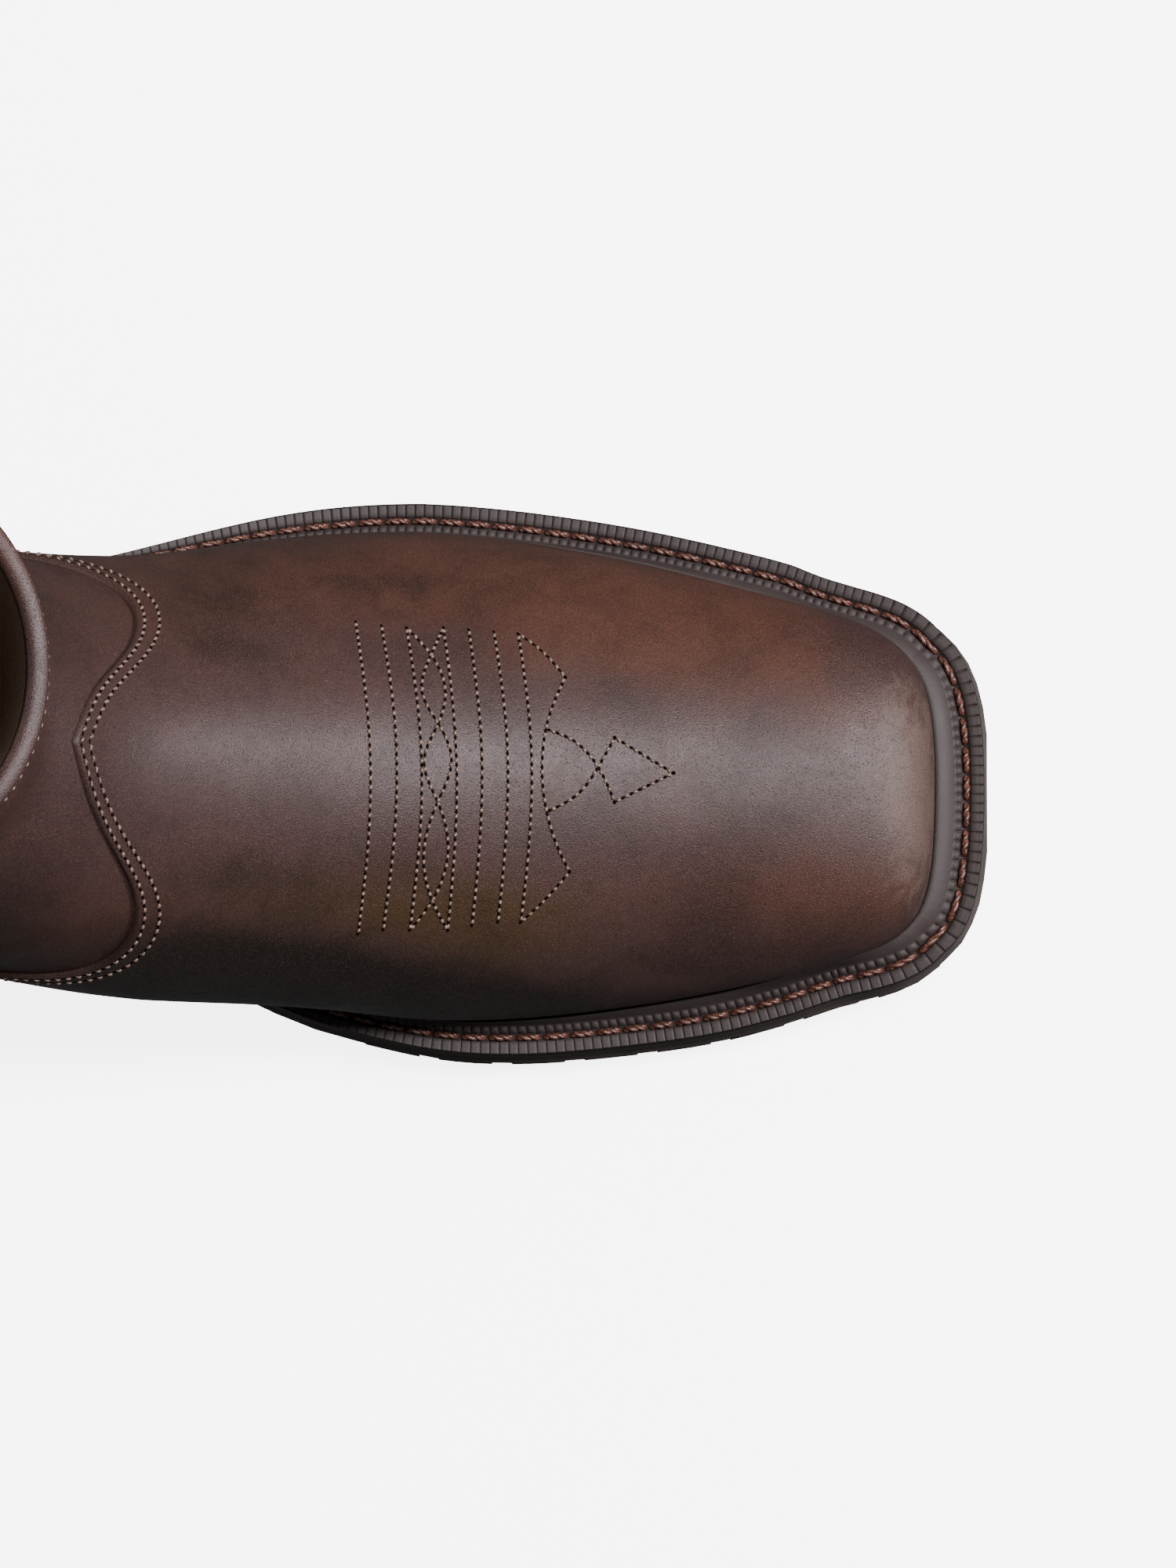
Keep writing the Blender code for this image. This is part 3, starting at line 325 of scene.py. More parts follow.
def warped_row(row: Array, v: Array) -> Array:
    """The row bent to the vamp's line and to the collar's cosine scallop."""
    pull = smoothstep(1.0 - np.abs(row - VAMP_LINE_ROW) / VAMP_LINE_REACH)
    climb = np.clip((row - SCALLOP_START_ROW) / (COLLAR_ROW - SCALLOP_START_ROW), 0.0, 1.0)
    away = np.abs(np.abs(v) - SIDE_LINE) / SIDE_LINE
    deepest = np.where(np.abs(v) < SIDE_LINE, FRONT_SCALLOP, BACK_SCALLOP)
    dip = deepest * (0.5 - 0.5 * np.cos(math.pi * away))
    return row + (vamp_line(np.abs(v)) - VAMP_LINE_ROW) * pull - dip * climb**1.5


class Crease(Enum):
    """Which set of soft troughs a sheet of the upper takes."""

    VAMP = "vamp"
    SHAFT = "shaft"
    NONE = "none"


@dataclass(frozen=True)
class Trough:
    """One soft crease or ridge: a bell across a line in plan, faded along it."""

    start: tuple[float, float, float]
    end: tuple[float, float, float]
    depth: float
    width: float
    fade: float

    def field(self, points: Array) -> Array:
        """Height of the crease at the points: depth times a bell of the distance from the
        line, times a bell of how far past the line's middle the point lies."""
        a, b = np.array(self.start), np.array(self.end)
        run = b - a
        t = np.clip((points - a) @ run / (run @ run), 0.0, 1.0)
        apart = np.linalg.norm(points - (a + t[..., None] * run), axis=-1)
        faded = 1.0 - smoothstep((np.abs(2.0 * t - 1.0) - 1.0 + self.fade) / self.fade)
        return self.depth * bump_of(apart, self.width) * (0.15 + 0.85 * faded)


VAMP_TROUGHS = (
    Trough((0.118, 0.044, 0.052), (0.109, 0.004, 0.099), -0.0007, 0.0052, 0.5),
    Trough((0.107, 0.046, 0.056), (0.098, 0.006, 0.107), -0.0008, 0.0045, 0.5),
    Trough((0.113, 0.045, 0.054), (0.104, 0.005, 0.103), 0.0006, 0.0038, 0.5),
    Trough((0.104, -0.050, 0.060), (0.112, -0.010, 0.100), -0.0007, 0.0050, 0.5),
    Trough((0.092, -0.049, 0.062), (0.100, -0.008, 0.108), -0.0006, 0.0050, 0.6),
    Trough((0.158, 0.047, 0.035), (0.152, 0.016, 0.074), -0.0005, 0.0080, 0.7),
    Trough((0.172, -0.052, 0.036), (0.160, -0.020, 0.072), -0.0005, 0.0080, 0.7),
    Trough((0.146, 0.047, 0.042), (0.141, 0.012, 0.082), -0.0004, 0.0070, 0.7),
    Trough((0.150, -0.052, 0.045), (0.142, -0.018, 0.080), -0.0004, 0.0070, 0.7),
)
SHAFT_TROUGHS = (
    Trough((0.075, 0.036, 0.135), (0.088, -0.036, 0.138), -0.0013, 0.0075, 0.6),
    Trough((0.068, 0.038, 0.152), (0.086, -0.038, 0.149), 0.0012, 0.0070, 0.6),
    Trough((0.072, 0.037, 0.165), (0.083, -0.037, 0.168), -0.0010, 0.0080, 0.6),
    Trough((0.020, 0.040, 0.095), (0.072, 0.036, 0.128), -0.0012, 0.0080, 0.7),
    Trough((0.020, -0.040, 0.092), (0.070, -0.036, 0.126), -0.0012, 0.0080, 0.7),
    Trough((-0.026, 0.018, 0.118), (-0.026, -0.018, 0.114), -0.0011, 0.0070, 0.8),
    Trough((-0.024, 0.020, 0.136), (-0.024, -0.020, 0.139), -0.0009, 0.0070, 0.8),
    Trough((0.060, 0.041, 0.190), (0.078, 0.010, 0.186), -0.0008, 0.0090, 0.8),
    Trough((0.000, -0.038, 0.150), (0.040, -0.041, 0.168), -0.0009, 0.0100, 0.8),
)


def leather_waver(points: Array) -> Array:
    """A few tenths of a millimetre of unevenness: a sum of slow sines of x, y and z."""
    x, y, z = (points[..., k] * 1000.0 for k in range(3))
    waver = np.sin(x / 11.0 + 0.7) * np.sin(y / 9.0 + z / 23.0)
    waver += 0.6 * np.sin(x / 6.3 - y / 7.7 + 1.9) * np.sin(z / 8.1 + y / 19.0)
    waver += 0.5 * np.sin((x + y) / 17.0 + z / 13.0 + 0.4)
    return 0.00010 * waver


def crease_height(points: Array, creases: Crease) -> Array:
    """Height of all the creases and unevenness of a sheet at the points."""
    troughs = {Crease.VAMP: VAMP_TROUGHS, Crease.SHAFT: SHAFT_TROUGHS, Crease.NONE: ()}[creases]
    height = sum((t.field(points) for t in troughs), np.zeros(points.shape[:-1]))
    return height + (leather_waver(points) if creases is not Crease.NONE else 0.0)


def creased_skin(u: Array, v: Array, creases: Crease, lift: float = 0.0) -> tuple[Array, Array]:
    """Points of the creased leather, lifted by a further distance, and their normals."""
    points, normals = LAST.surface(u, v)
    return points + normals * (crease_height(points, creases) + lift)[..., None], normals


def seat(grids: Sequence[Array], edge: Array) -> None:
    """Brings the marked places of each grid down to the sole's seat."""
    for grid in grids:
        grid[..., 2] = np.where(edge, sole_top(grid[..., 0]) + SEAT_GAP, grid[..., 2])


# Meshes


def link(name: str, data: bpy.types.ID) -> bpy.types.Object:
    """An object at the origin with a mesh, light or camera."""
    made = bpy.data.objects.new(name, data)
    bpy.context.scene.collection.objects.link(made)
    return made


def mesh_points(mesh: bpy.types.Mesh) -> Array:
    """The mesh's points."""
    points = np.zeros(3 * len(mesh.vertices), np.float32)
    mesh.vertices.foreach_get("co", points)
    return points.reshape(-1, 3)


def make_object(name: str, points: Array, faces: Array, smooth: bool = True) -> bpy.types.Object:
    """A mesh object from points and faces of any one size.

    Args:
        name: the piece's name.
        points: an array of points.
        faces: an array of corner numbers, a row for each face.
        smooth: whether its faces are shaded smooth.

    Returns:
        The object, at the origin.
    """
    points = np.ascontiguousarray(points, np.float32).reshape(-1, 3)
    faces = np.asarray(faces, np.int32)
    mesh = bpy.data.meshes.new(name)
    mesh.vertices.add(len(points))
    mesh.vertices.foreach_set("co", points.ravel())
    mesh.loops.add(faces.size)
    mesh.loops.foreach_set("vertex_index", faces.ravel())
    mesh.polygons.add(len(faces))
    mesh.polygons.foreach_set("loop_start", np.arange(len(faces), dtype=np.int32) * faces.shape[1])
    mesh.update(calc_edges=True)
    mesh.validate()
    if smooth:
        mesh.shade_smooth()
    return link(name, mesh)


def add_attribute(piece: bpy.types.Object, name: str, values: Array) -> None:
    """A number for each vertex, which the piece's finish reads."""
    attribute = piece.data.attributes.new(name, "FLOAT", "POINT")
    attribute.data.foreach_set("value", np.asarray(values, np.float32).ravel())


def grid_faces(rows: int, columns: int, wrap: bool = False) -> Array:
    """Quads of a grid of points, joined round its columns where wrap is set."""
    i = np.arange(rows - 1)[:, None]
    j = np.arange(columns if wrap else columns - 1)[None, :]
    k = (j + 1) % columns
    a, b = i * columns + j, i * columns + k
    return np.stack([a, a + columns, b + columns, b], axis=-1).reshape(-1, 4)


def wall(name: str, outer: Array, inner: Array, keep: Array | None = None) -> bpy.types.Object:
    """A closed wall between two grids of one shape.

    Points that two places of the outer grid share are welded, and each edge of the sheet
    that only one face uses gets a rim to the inner grid.

    Args:
        name: the piece's name.
        outer: grid of outer points.
        inner: grid of inner points.
        keep: the grid's quads to keep, or None for all.

    Returns:
        The object.
    """
    rows, columns = outer.shape[:2]
    flat_outer, flat_inner = outer.reshape(-1, 3), inner.reshape(-1, 3)
    _, first, back = np.unique(np.round(flat_outer, 7), axis=0, return_index=True,
                               return_inverse=True)
    sheet = first[back.reshape(-1)][grid_faces(rows, columns)]
    if keep is not None:
        sheet = sheet[keep.reshape(-1)]
    starts = sheet.ravel()
    ends = np.roll(sheet, -1, axis=1).ravel()
    count = len(flat_outer)
    real = starts != ends
    forward = starts * count + ends
    free = real & ~np.isin(forward, ends[real] * count + starts[real])
    rim = np.stack([ends[free], starts[free], starts[free] + count, ends[free] + count], axis=1)
    faces = np.vstack([sheet, sheet[:, ::-1] + count, rim])
    used, place = np.unique(faces, return_inverse=True)
    return make_object(name, np.vstack([flat_outer, flat_inner])[used], place.reshape(-1, 4))


def capped_tube(name: str, rings: Array) -> bpy.types.Object:
    """A tube through rings of points, with a fan to the middle of each end."""
    count, around = rings.shape[:2]
    total = count * around
    j = np.arange(around)
    k = (j + 1) % around
    hub, last = np.full(around, total), total - around
    caps = np.vstack([np.stack([hub, j, k], axis=1),
                      np.stack([hub + 1, last + k, last + j], axis=1)])
    points = np.vstack([rings.reshape(-1, 3), rings[0].mean(0), rings[-1].mean(0)])
    mesh = bpy.data.meshes.new(name)
    quads = grid_faces(count, around, wrap=True)
    mesh.from_pydata(points.tolist(), [], quads.tolist() + caps.tolist())
    mesh.shade_smooth()
    return turned_out(link(name, mesh))


def strand_faces(count: int, rings: int) -> Array:
    """Quads of many short six-sided tubes, each closed at both ends.

    Args:
        count: how many tubes there are.
        rings: how many rings of six points each one has.

    Returns:
        The quads, with the tubes' points one tube after another.
    """
    caps = np.array([[0, 1, 2, 3], [0, 3, 4, 5]])
    block = np.vstack([grid_faces(rings, 6, wrap=True), caps, (rings - 1) * 6 + caps[:, ::-1]])
    starts = np.arange(count)[:, None, None] * rings * 6
    return (block[None] + starts).reshape(-1, 4)


def turned_out(piece: bpy.types.Object) -> bpy.types.Object:
    """The piece with its faces turned outwards, found from the sign of its volume."""
    mesh = piece.data
    mesh.calc_loop_triangles()
    corners = np.zeros(3 * len(mesh.loop_triangles), np.int32)
    mesh.loop_triangles.foreach_get("vertices", corners)
    a, b, c = mesh_points(mesh)[corners].reshape(-1, 3, 3).transpose(1, 0, 2)
    if np.einsum("ij,ij->", a, np.cross(b, c)) < 0:
        mesh.flip_normals()
    return piece


def lengths(points: Array) -> Array:
    """The length from a line's start to each of its points."""
    return np.concatenate([[0.0], np.cumsum(np.linalg.norm(np.diff(points, axis=0), axis=1))])


def read_columns(at: Array, run: Array, table: Array) -> Array:
    """Every column of the table, whose rows lie along the run, read at the places."""
    return np.stack([np.interp(at, run, column) for column in table.T], axis=1)


def resample(points: Array, pitch: float) -> Array:
    """Points a pitch apart along a line, evenly spread over its length; columns past the
    third are carried along."""
    run = lengths(points[:, :3])
    count = max(2, int(round(run[-1] / pitch)) + 1)
    return read_columns(np.linspace(0.0, run[-1], count), run, points)


def smooth_line(points: Array, per_span: int = 12) -> Array:
    """A curve through the points: natural splines over the length between them."""
    run = lengths(points)
    fine = np.linspace(0.0, run[-1], per_span * len(points))
    return np.stack([natural_spline(run, column)(fine) for column in points.T], axis=1)


# Shader expressions


def operator(operation: str) -> Callable:
    """A method of Value that makes a Math node of it and another value."""
    return lambda self, other: self.math(operation, self, other)


@dataclass
class Value:
    """A shader socket that takes part in expressions."""

    shader: "Shader"
    socket: bpy.types.NodeSocket

    def math(self, operation: str, *values: "Value | float") -> "Value":
        """A Math node on the values, or on this one where none is given."""
        inputs = dict(enumerate(values or (self,)))
        return self.shader.node("ShaderNodeMath", {"operation": operation}, inputs)

    def clamped(self) -> "Value":
        """Held between 0 and 1."""
        return self.math("MINIMUM", self.math("MAXIMUM", self, 0.0), 1.0)

    __add__ = __radd__ = operator("ADD")
    __mul__ = __rmul__ = operator("MULTIPLY")
    __sub__ = operator("SUBTRACT")


class Shader:
    """A material being made: its nodes, patterns and finished surface."""

    def __init__(self, name: str) -> None:
        """Starts an empty material."""
        self.material = bpy.data.materials.new(name)
        self.material.use_nodes = True
        self.tree = self.material.node_tree
        self.tree.nodes.clear()
        self.place = self.node("ShaderNodeTexCoord", {}, {}, "Object")

    def node(self, kind: str, settings: dict, inputs: dict, output: int | str = 0) -> Value:
        """Any node.

        Args:
            kind: the node's type.
            settings: its properties.
            inputs: values or links by socket name or number.
            output: the socket to return.

        Returns:
            That output socket.
        """
        made = self.tree.nodes.new(kind)
        for key, value in settings.items():
            setattr(made, key, value)
        for key, value in inputs.items():
            if isinstance(value, Value):
                self.tree.links.new(value.socket, made.inputs[key])
            elif value is not None:
                made.inputs[key].default_value = value
        return Value(self, made.outputs[output])

    def stretched(self, scale: tuple[float, float, float], turn: float = 0.0) -> Value:
        """The object's place, scaled by axis and turned about Z."""
        inputs = {"Vector": self.place, "Scale": scale, "Rotation": (0.0, 0.0, turn)}
        return self.node("ShaderNodeMapping", {}, inputs)

    def noise(self, scale: float, detail: float = 3.0, rough: float = 0.5,
              place: Value | None = None, twist: float = 0.0) -> Value:
        """Noise of 0 to 1, with scale in features per metre."""
        inputs = {"Vector": place or self.place, "Scale": scale, "Detail": detail,
                  "Roughness": rough, "Distortion": twist}
        return self.node("ShaderNodeTexNoise", {}, inputs)

    def cells(self, scale: float, place: Value | None = None) -> Value:
        """Distance to the nearest of scattered points."""
        return self.node("ShaderNodeTexVoronoi", {}, {"Vector": place or self.place, "Scale": scale})

    def step(self, value: Value, low: float, high: float) -> Value:
        """A smooth rise from 0 at low to 1 at high, or a fall where high is lower."""
        inputs = {0: value, 1: low, 2: high, 3: 0.0, 4: 1.0}
        settings = {"interpolation_type": "SMOOTHSTEP"}
        if high < low:
            inputs.update({1: high, 2: low, 3: 1.0, 4: 0.0})
        return self.node("ShaderNodeMapRange", settings, inputs)

    def mix(self, factor: Value | float, first: "Value | tuple", second: "Value | tuple",
            blend: str = "MIX") -> Value:
        """Two colours mixed by a factor."""
        settings = {"data_type": "RGBA", "blend_type": blend, "clamp_factor": True}
        return self.node("ShaderNodeMix", settings, {0: factor, 6: first, 7: second}, 2)

    def layered(self, colour: "Value | tuple", *layers: "tuple[Value, Value | tuple]") -> Value:
        """The colour under layers, each a factor and a colour that is mixed on."""
        for factor, layer in layers:
            colour = self.mix(factor, colour, layer)
        return colour

    def attribute(self, name: str) -> Value:
        """A number that the piece carries on its vertices."""
        return self.node("ShaderNodeAttribute", {"attribute_name": name}, {}, "Fac")

    def axis(self, letter: str) -> Value:
        """One coordinate of the object's place."""
        return self.node("ShaderNodeSeparateXYZ", {}, {0: self.place}, letter)

    def bump(self, height: Value, strength: float, distance: float,
             under: Value | None = None) -> Value:
        """A bump's normal, laid over another where given."""
        inputs = {"Height": height, "Strength": strength, "Distance": distance, "Normal": under}
        return self.node("ShaderNodeBump", {}, inputs)

    def surface(self, colour: "Value | tuple", roughness: "Value | float",
                normal: Value | None = None, **fixed: float) -> bpy.types.Material:
        """Finishes the material with one Principled surface.

        Args:
            colour: its base colour.
            roughness: its roughness.
            normal: its normal, from a bump.
            fixed: other sockets' values, with _ for spaces.

        Returns:
            The material.
        """
        inputs = {"Base Color": colour, "Roughness": roughness, "Normal": normal}
        inputs.update({key.replace("_", " "): value for key, value in fixed.items()})
        face = self.node("ShaderNodeBsdfPrincipled", {}, inputs)
        end = self.tree.nodes.new("ShaderNodeOutputMaterial")
        self.tree.links.new(face.socket, end.inputs["Surface"])
        return self.material


Colour = tuple[float, float, float, float]


def rgb(red: float, green: float, blue: float) -> Colour:
    """An opaque colour."""
    return (red, green, blue, 1.0)


@dataclass(frozen=True)
class OiledLeather:
    """Distressed oiled leather: mottled browns, pebble grain, pale scuffs and dark patches, with
    painted light on the toe's front wall and painted shade low on the inner side and just above the
    sole.
    """

    name: str
    middle: Colour = rgb(0.0335, 0.0172, 0.0152)
    red: Colour = rgb(0.0540, 0.0215, 0.0135)
    olive: Colour = rgb(0.0390, 0.0215, 0.0085)
    # Colour of dark patches and painted shade, and of dark grain specks.
    dark: Colour = rgb(0.005, 0.0032, 0.0022)
    # Colour of scuffs and painted light, of scratches and of pale grain.
    pale: Colour = rgb(0.115, 0.080, 0.064)
    roughness: float = 0.45

    def material(self) -> bpy.types.Material:
        """Builds the finish from the piece's tone attributes and layered noise."""
        s = Shader(self.name)
        cloud = s.noise(34.0, 4.0, 0.55, twist=0.4)
        patch = s.noise(75.0, 5.0, 0.62, twist=0.6)
        speck = s.noise(420.0, 3.0, 0.6)
        fleck = s.noise(4200.0, 2.0, 0.6)
        red = s.attribute("tone_red") * 1.15 + (cloud - 0.5) * 1.3 + (patch - 0.5) * 0.8
        olive = s.attribute("tone_olive") + (patch - 0.5) * 1.1
        # Dark tone: dark patches, and painted shade low on the inner side and just above the sole.
        dark = s.attribute("tone_dark_and_shade") + (cloud - 0.5) * 0.5 + (patch - 0.5) * 0.5
        colour = s.layered(self.middle, (s.step(red, 0.05, 0.95), self.red),
                           (s.step(olive, 0.25, 1.15), self.olive))
        mottle = s.step(patch, 0.40, 0.66) * 0.42 + s.step(cloud, 0.55, 0.35) * 0.25
        shaded = s.mix(1.0, colour, rgb(0.42, 0.38, 0.36), "MULTIPLY")
        wear = s.noise(150.0, 6.0, 0.72, twist=1.2)
        # Pale tone: scuffs, and painted light on the toe's front wall.
        rubbed = s.step(s.attribute("tone_scuff_and_light") + (wear - 0.5) * 1.6, 0.55, 1.25)
        strokes = s.noise(60.0, 5.0, 0.75, s.stretched((3.2, 11.0, 3.2), 0.35), 0.4)
        strokes_2 = s.noise(70.0, 4.0, 0.7, s.stretched((12.0, 2.6, 3.0), -0.25), 0.5)
        lines = s.step(strokes, 0.660, 0.700) + s.step(strokes_2, 0.675, 0.715)
        worn = lines.clamped() * s.step(s.attribute("tone_scratch") + (cloud - 0.5), 0.2, 0.9)
        dots = s.step(s.cells(1450.0), 0.27, 0.12)
        glints = s.step(s.cells(1250.0, s.stretched((1.0, 1.2, 1.0), 0.5)), 0.19, 0.09)
        # Layers: mottling, dark patches with painted shade, scuffs with painted light, scratches,
        # grain specks and glints.
        colour = s.layered(
            colour, (mottle, shaded), (s.step(dark, 0.15, 0.95), self.dark),
            (rubbed * 0.55, self.pale), (worn * 0.40, self.pale),
            (s.step(speck, 0.60, 0.78) * 0.22, self.dark),
            (s.step(fleck, 0.52, 0.66) * 0.26, self.pale),
            (s.step(fleck, 0.48, 0.36) * 0.50 + dots * 0.26, self.dark),
            (glints * 0.34, self.pale))
        height = s.cells(4200.0) * -0.5 + dots * -0.5 + fleck * 0.45
        fine = s.bump(height, 0.55, 0.00018)
        broad = s.bump(cloud, 0.20, 0.0008, fine)
        rough = (self.roughness + (patch - 0.5) * 0.24 + s.step(speck, 0.4, 0.75) * 0.07
                 + rubbed * 0.10 - s.attribute("tone_shine") * 0.06)
        return s.surface(colour, rough, broad, Specular_IOR_Level=0.27, Coat_Weight=0.03,
                         Coat_Roughness=0.40)


@dataclass(frozen=True)
class MouldedRubber:
    """Moulded rubber: a matt skin with dust in its hollows and faint swirls."""

    name: str
    base: Colour = rgb(0.040, 0.034, 0.031)
    dust: Colour = rgb(0.100, 0.082, 0.070)
    dusty: float = 0.35
    roughness: float = 0.60
    specular: float = 0.42

    def material(self) -> bpy.types.Material:
        """Builds the finish from two sizes of noise."""
        s = Shader(self.name)
        wide = s.noise(60.0, 4.0, 0.6)
        fine = s.noise(900.0, 3.0, 0.65)
        colour = s.layered(self.base, (s.step(wide, 0.35, 0.75) * self.dusty, self.dust),
                           (s.step(fine, 0.55, 0.8) * 0.25, self.dust))
        normal = s.bump(fine + wide * 0.6, 0.30, 0.00022)
        rough = self.roughness + (wide - 0.5) * 0.22
        return s.surface(colour, rough, normal, Specular_IOR_Level=self.specular)


@dataclass(frozen=True)
class StackedLeather:
    """A heel stack's edge: thin lifts one on another, waxed and rubbed."""

    name: str
    base: Colour = rgb(0.050, 0.028, 0.018)
    seam: Colour = rgb(0.014, 0.009, 0.007)
    lift: float = 0.0042

    def material(self) -> bpy.types.Material:
        """Builds the finish: the height counted in lifts gives the seams, noise their waver."""
        s = Shader(self.name)
        waver = s.noise(90.0, 3.0, 0.6)
        level = s.axis("Z") * (1.0 / self.lift) + (waver - 0.5) * 0.35
        line = s.step((level.math("FRACT") - 0.5).math("ABSOLUTE"), 0.40, 0.49)
        streak = s.noise(45.0, 4.0, 0.65, s.stretched((1.0, 1.0, 9.0)))
        colour = s.layered(self.base, (s.step(streak, 0.3, 0.8), rgb(0.085, 0.048, 0.030)),
                           (line * 0.8, self.seam))
        normal = s.bump(streak * 0.4 - line, 0.45, 0.0004)
        return s.surface(colour, 0.38 + streak * 0.25, normal, Coat_Weight=0.15,
                         Coat_Roughness=0.25)


@dataclass(frozen=True)
class WovenLining:
    """A lining knit: crossed ribs of yarn with a little fuzz."""

    name: str
    base: Colour = rgb(0.210, 0.150, 0.100)
    shade: Colour = rgb(0.080, 0.055, 0.038)
    pitch: float = 0.0012

    def material(self) -> bpy.types.Material:
        """Builds the finish from two crossed sines of the place."""
        s = Shader(self.name)
        turn = 2.0 * math.pi / self.pitch
        angle_1, angle_2 = (s.axis("X") + s.axis("Y")) * turn, s.axis("Z") * turn
        weave = angle_1.math("SINE") * angle_2.math("SINE")
        fuzz = s.noise(600.0, 4.0, 0.7)
        colour = s.mix(s.step(weave + fuzz, -0.2, 1.2), self.shade, self.base)
        normal = s.bump(weave + fuzz * 0.8, 0.5, 0.0003)
        return s.surface(colour, 0.85 + (fuzz - 0.5) * 0.1, normal, Specular_IOR_Level=0.2)


@dataclass(frozen=True)
class WaxedThread:
    """Waxed thread: fine twisted fibres along a base colour."""

    name: str
    base: Colour = rgb(0.235, 0.165, 0.125)
    shade: Colour = rgb(0.050, 0.030, 0.022)
    roughness: float = 0.50

    def material(self) -> bpy.types.Material:
        """Builds the finish from stretched noise."""
        s = Shader(self.name)
        fibre = s.noise(2600.0, 3.0, 0.6)
        grime = s.noise(160.0, 3.0, 0.6)
        colour = s.layered(self.shade, (s.step(fibre, 0.35, 0.7), self.base),
                           (s.step(grime, 0.45, 0.75) * 0.5, self.shade))
        normal = s.bump(fibre, 0.4, 0.00012)
        rough = self.roughness + (grime - 0.5) * 0.2
        return s.surface(colour, rough, normal, Specular_IOR_Level=0.45)


@dataclass(frozen=True)
class FlatTone:
    """A plain dull surface with a slight unevenness, such as a hole's shadow."""

    name: str
    base: Colour
    roughness: float = 0.8

    def material(self) -> bpy.types.Material:
        """Builds the finish."""
        s = Shader(self.name)
        uneven = s.noise(300.0, 2.0, 0.5)
        shade = tuple(0.85 * c for c in self.base[:3]) + (1.0,)
        return s.surface(s.mix(uneven * 0.5, self.base, shade), self.roughness, None,
                         Specular_IOR_Level=0.0)


# Tones of the leather, in plan


@dataclass(frozen=True)
class Patch:
    """An oval of one tone in plan, with a soft edge."""

    x: float
    y: float
    half_x: float
    half_y: float
    weight: float

    def field(self, points: Array) -> Array:
        """The weight times a bell of the distance in half widths."""
        away = ((points[..., 0] - self.x) / self.half_x) ** 2
        away = away + ((points[..., 1] - self.y) / self.half_y) ** 2
        return self.weight * np.exp(-away)


RED_PATCHES = (Patch(0.135, 0.040, 0.070, 0.016, 0.80), Patch(0.205, 0.028, 0.035, 0.016, 0.75),
               Patch(0.235, 0.014, 0.020, 0.012, 0.30), Patch(0.225, -0.028, 0.035, 0.012, 0.55),
               Patch(0.178, -0.006, 0.030, 0.012, 0.20), Patch(0.120, -0.036, 0.030, 0.010, 0.30))
OLIVE_PATCHES = (Patch(0.170, -0.034, 0.030, 0.012, 0.85), Patch(0.210, -0.012, 0.020, 0.010, 0.35),
                 Patch(0.130, -0.030, 0.035, 0.012, 0.60))
# Dark patches; the ones low on the inner side are painted shade.
DARK_AND_SHADE_PATCHES = (Patch(0.150, -0.058, 0.120, 0.009, 1.10), Patch(0.190, 0.047, 0.050, 0.006, 0.35),
                Patch(0.118, -0.045, 0.040, 0.010, 1.25), Patch(0.165, -0.050, 0.030, 0.006, 0.50),
                Patch(0.112, 0.030, 0.022, 0.009, 0.40), Patch(0.150, 0.036, 0.030, 0.006, 0.45),
                Patch(0.118, 0.018, 0.014, 0.005, 0.45), Patch(0.190, 0.022, 0.016, 0.006, 0.25),
                Patch(0.124, -0.026, 0.026, 0.006, 0.50), Patch(0.250, 0.020, 0.006, 0.014, 0.15))
# Pale scuffs; the two patches across the toe's front wall are painted light.
SCUFF_AND_LIGHT_PATCHES = (Patch(0.245, -0.004, 0.008, 0.030, 0.35), Patch(0.257, -0.006, 0.009, 0.030, 1.25),
                Patch(0.205, 0.006, 0.030, 0.018, 0.22), Patch(0.110, 0.004, 0.040, 0.016, 0.25))
SCRATCH_PATCHES = (Patch(0.120, 0.012, 0.050, 0.030, 1.0), Patch(0.215, 0.005, 0.030, 0.025, 0.55))


def tone(points: Array, patches: Sequence[Patch]) -> Array:
    """The patches' sum at the points."""
    return sum((p.field(points) for p in patches), np.zeros(points.shape[:-1]))


def add_tones(piece: bpy.types.Object, edge_shade: float) -> None:
    """Writes the leather's tone attributes on a piece from its points.

    Args:
        piece: the leather piece.
        edge_shade: how much darker it is just above the sole.
    """
    points = mesh_points(piece.data).astype(float)
    rise = points[:, 2] - sole_top(points[:, 0])
    forefoot = smoothstep((points[:, 0] - 0.070) / 0.04)
    upright = smoothstep((rise - 0.060) / 0.05)
    add_attribute(piece, "tone_red", tone(points, RED_PATCHES) * forefoot + 0.30 * (1 - forefoot))
    add_attribute(piece, "tone_olive", tone(points, OLIVE_PATCHES) * forefoot)
    # Painted shade: a dark band just above the sole, fading out before the toe.
    low = edge_shade * bump_of(rise, 0.012) * (1.0 - smoothstep((points[:, 0] - 0.235) / 0.02))
    dark = tone(points, DARK_AND_SHADE_PATCHES) * forefoot * (1.0 - 0.5 * upright) + low
    add_attribute(piece, "tone_dark_and_shade", dark)
    # Scuffs, with painted light on the toe's front wall.
    add_attribute(piece, "tone_scuff_and_light", tone(points, SCUFF_AND_LIGHT_PATCHES) * forefoot
                  + 0.18 * upright * (1 - forefoot))
    add_attribute(piece, "tone_scratch", tone(points, SCRATCH_PATCHES) + 0.25 * (1 - forefoot))
    add_attribute(piece, "tone_shine", bump_of(points[:, 1] - 0.006, 0.018) * forefoot)


def dress(piece: bpy.types.Object, material: bpy.types.Material,
          stands_for: Sequence[str] = ()) -> None:
    """Gives a piece its material, body and the nodes it stands for."""
    piece.data.materials.clear()
    piece.data.materials.append(material)
    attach(piece, "root")
    if stands_for:
        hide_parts(*stands_for)
    log.info("%s: %d faces", piece.name, len(piece.data.polygons))


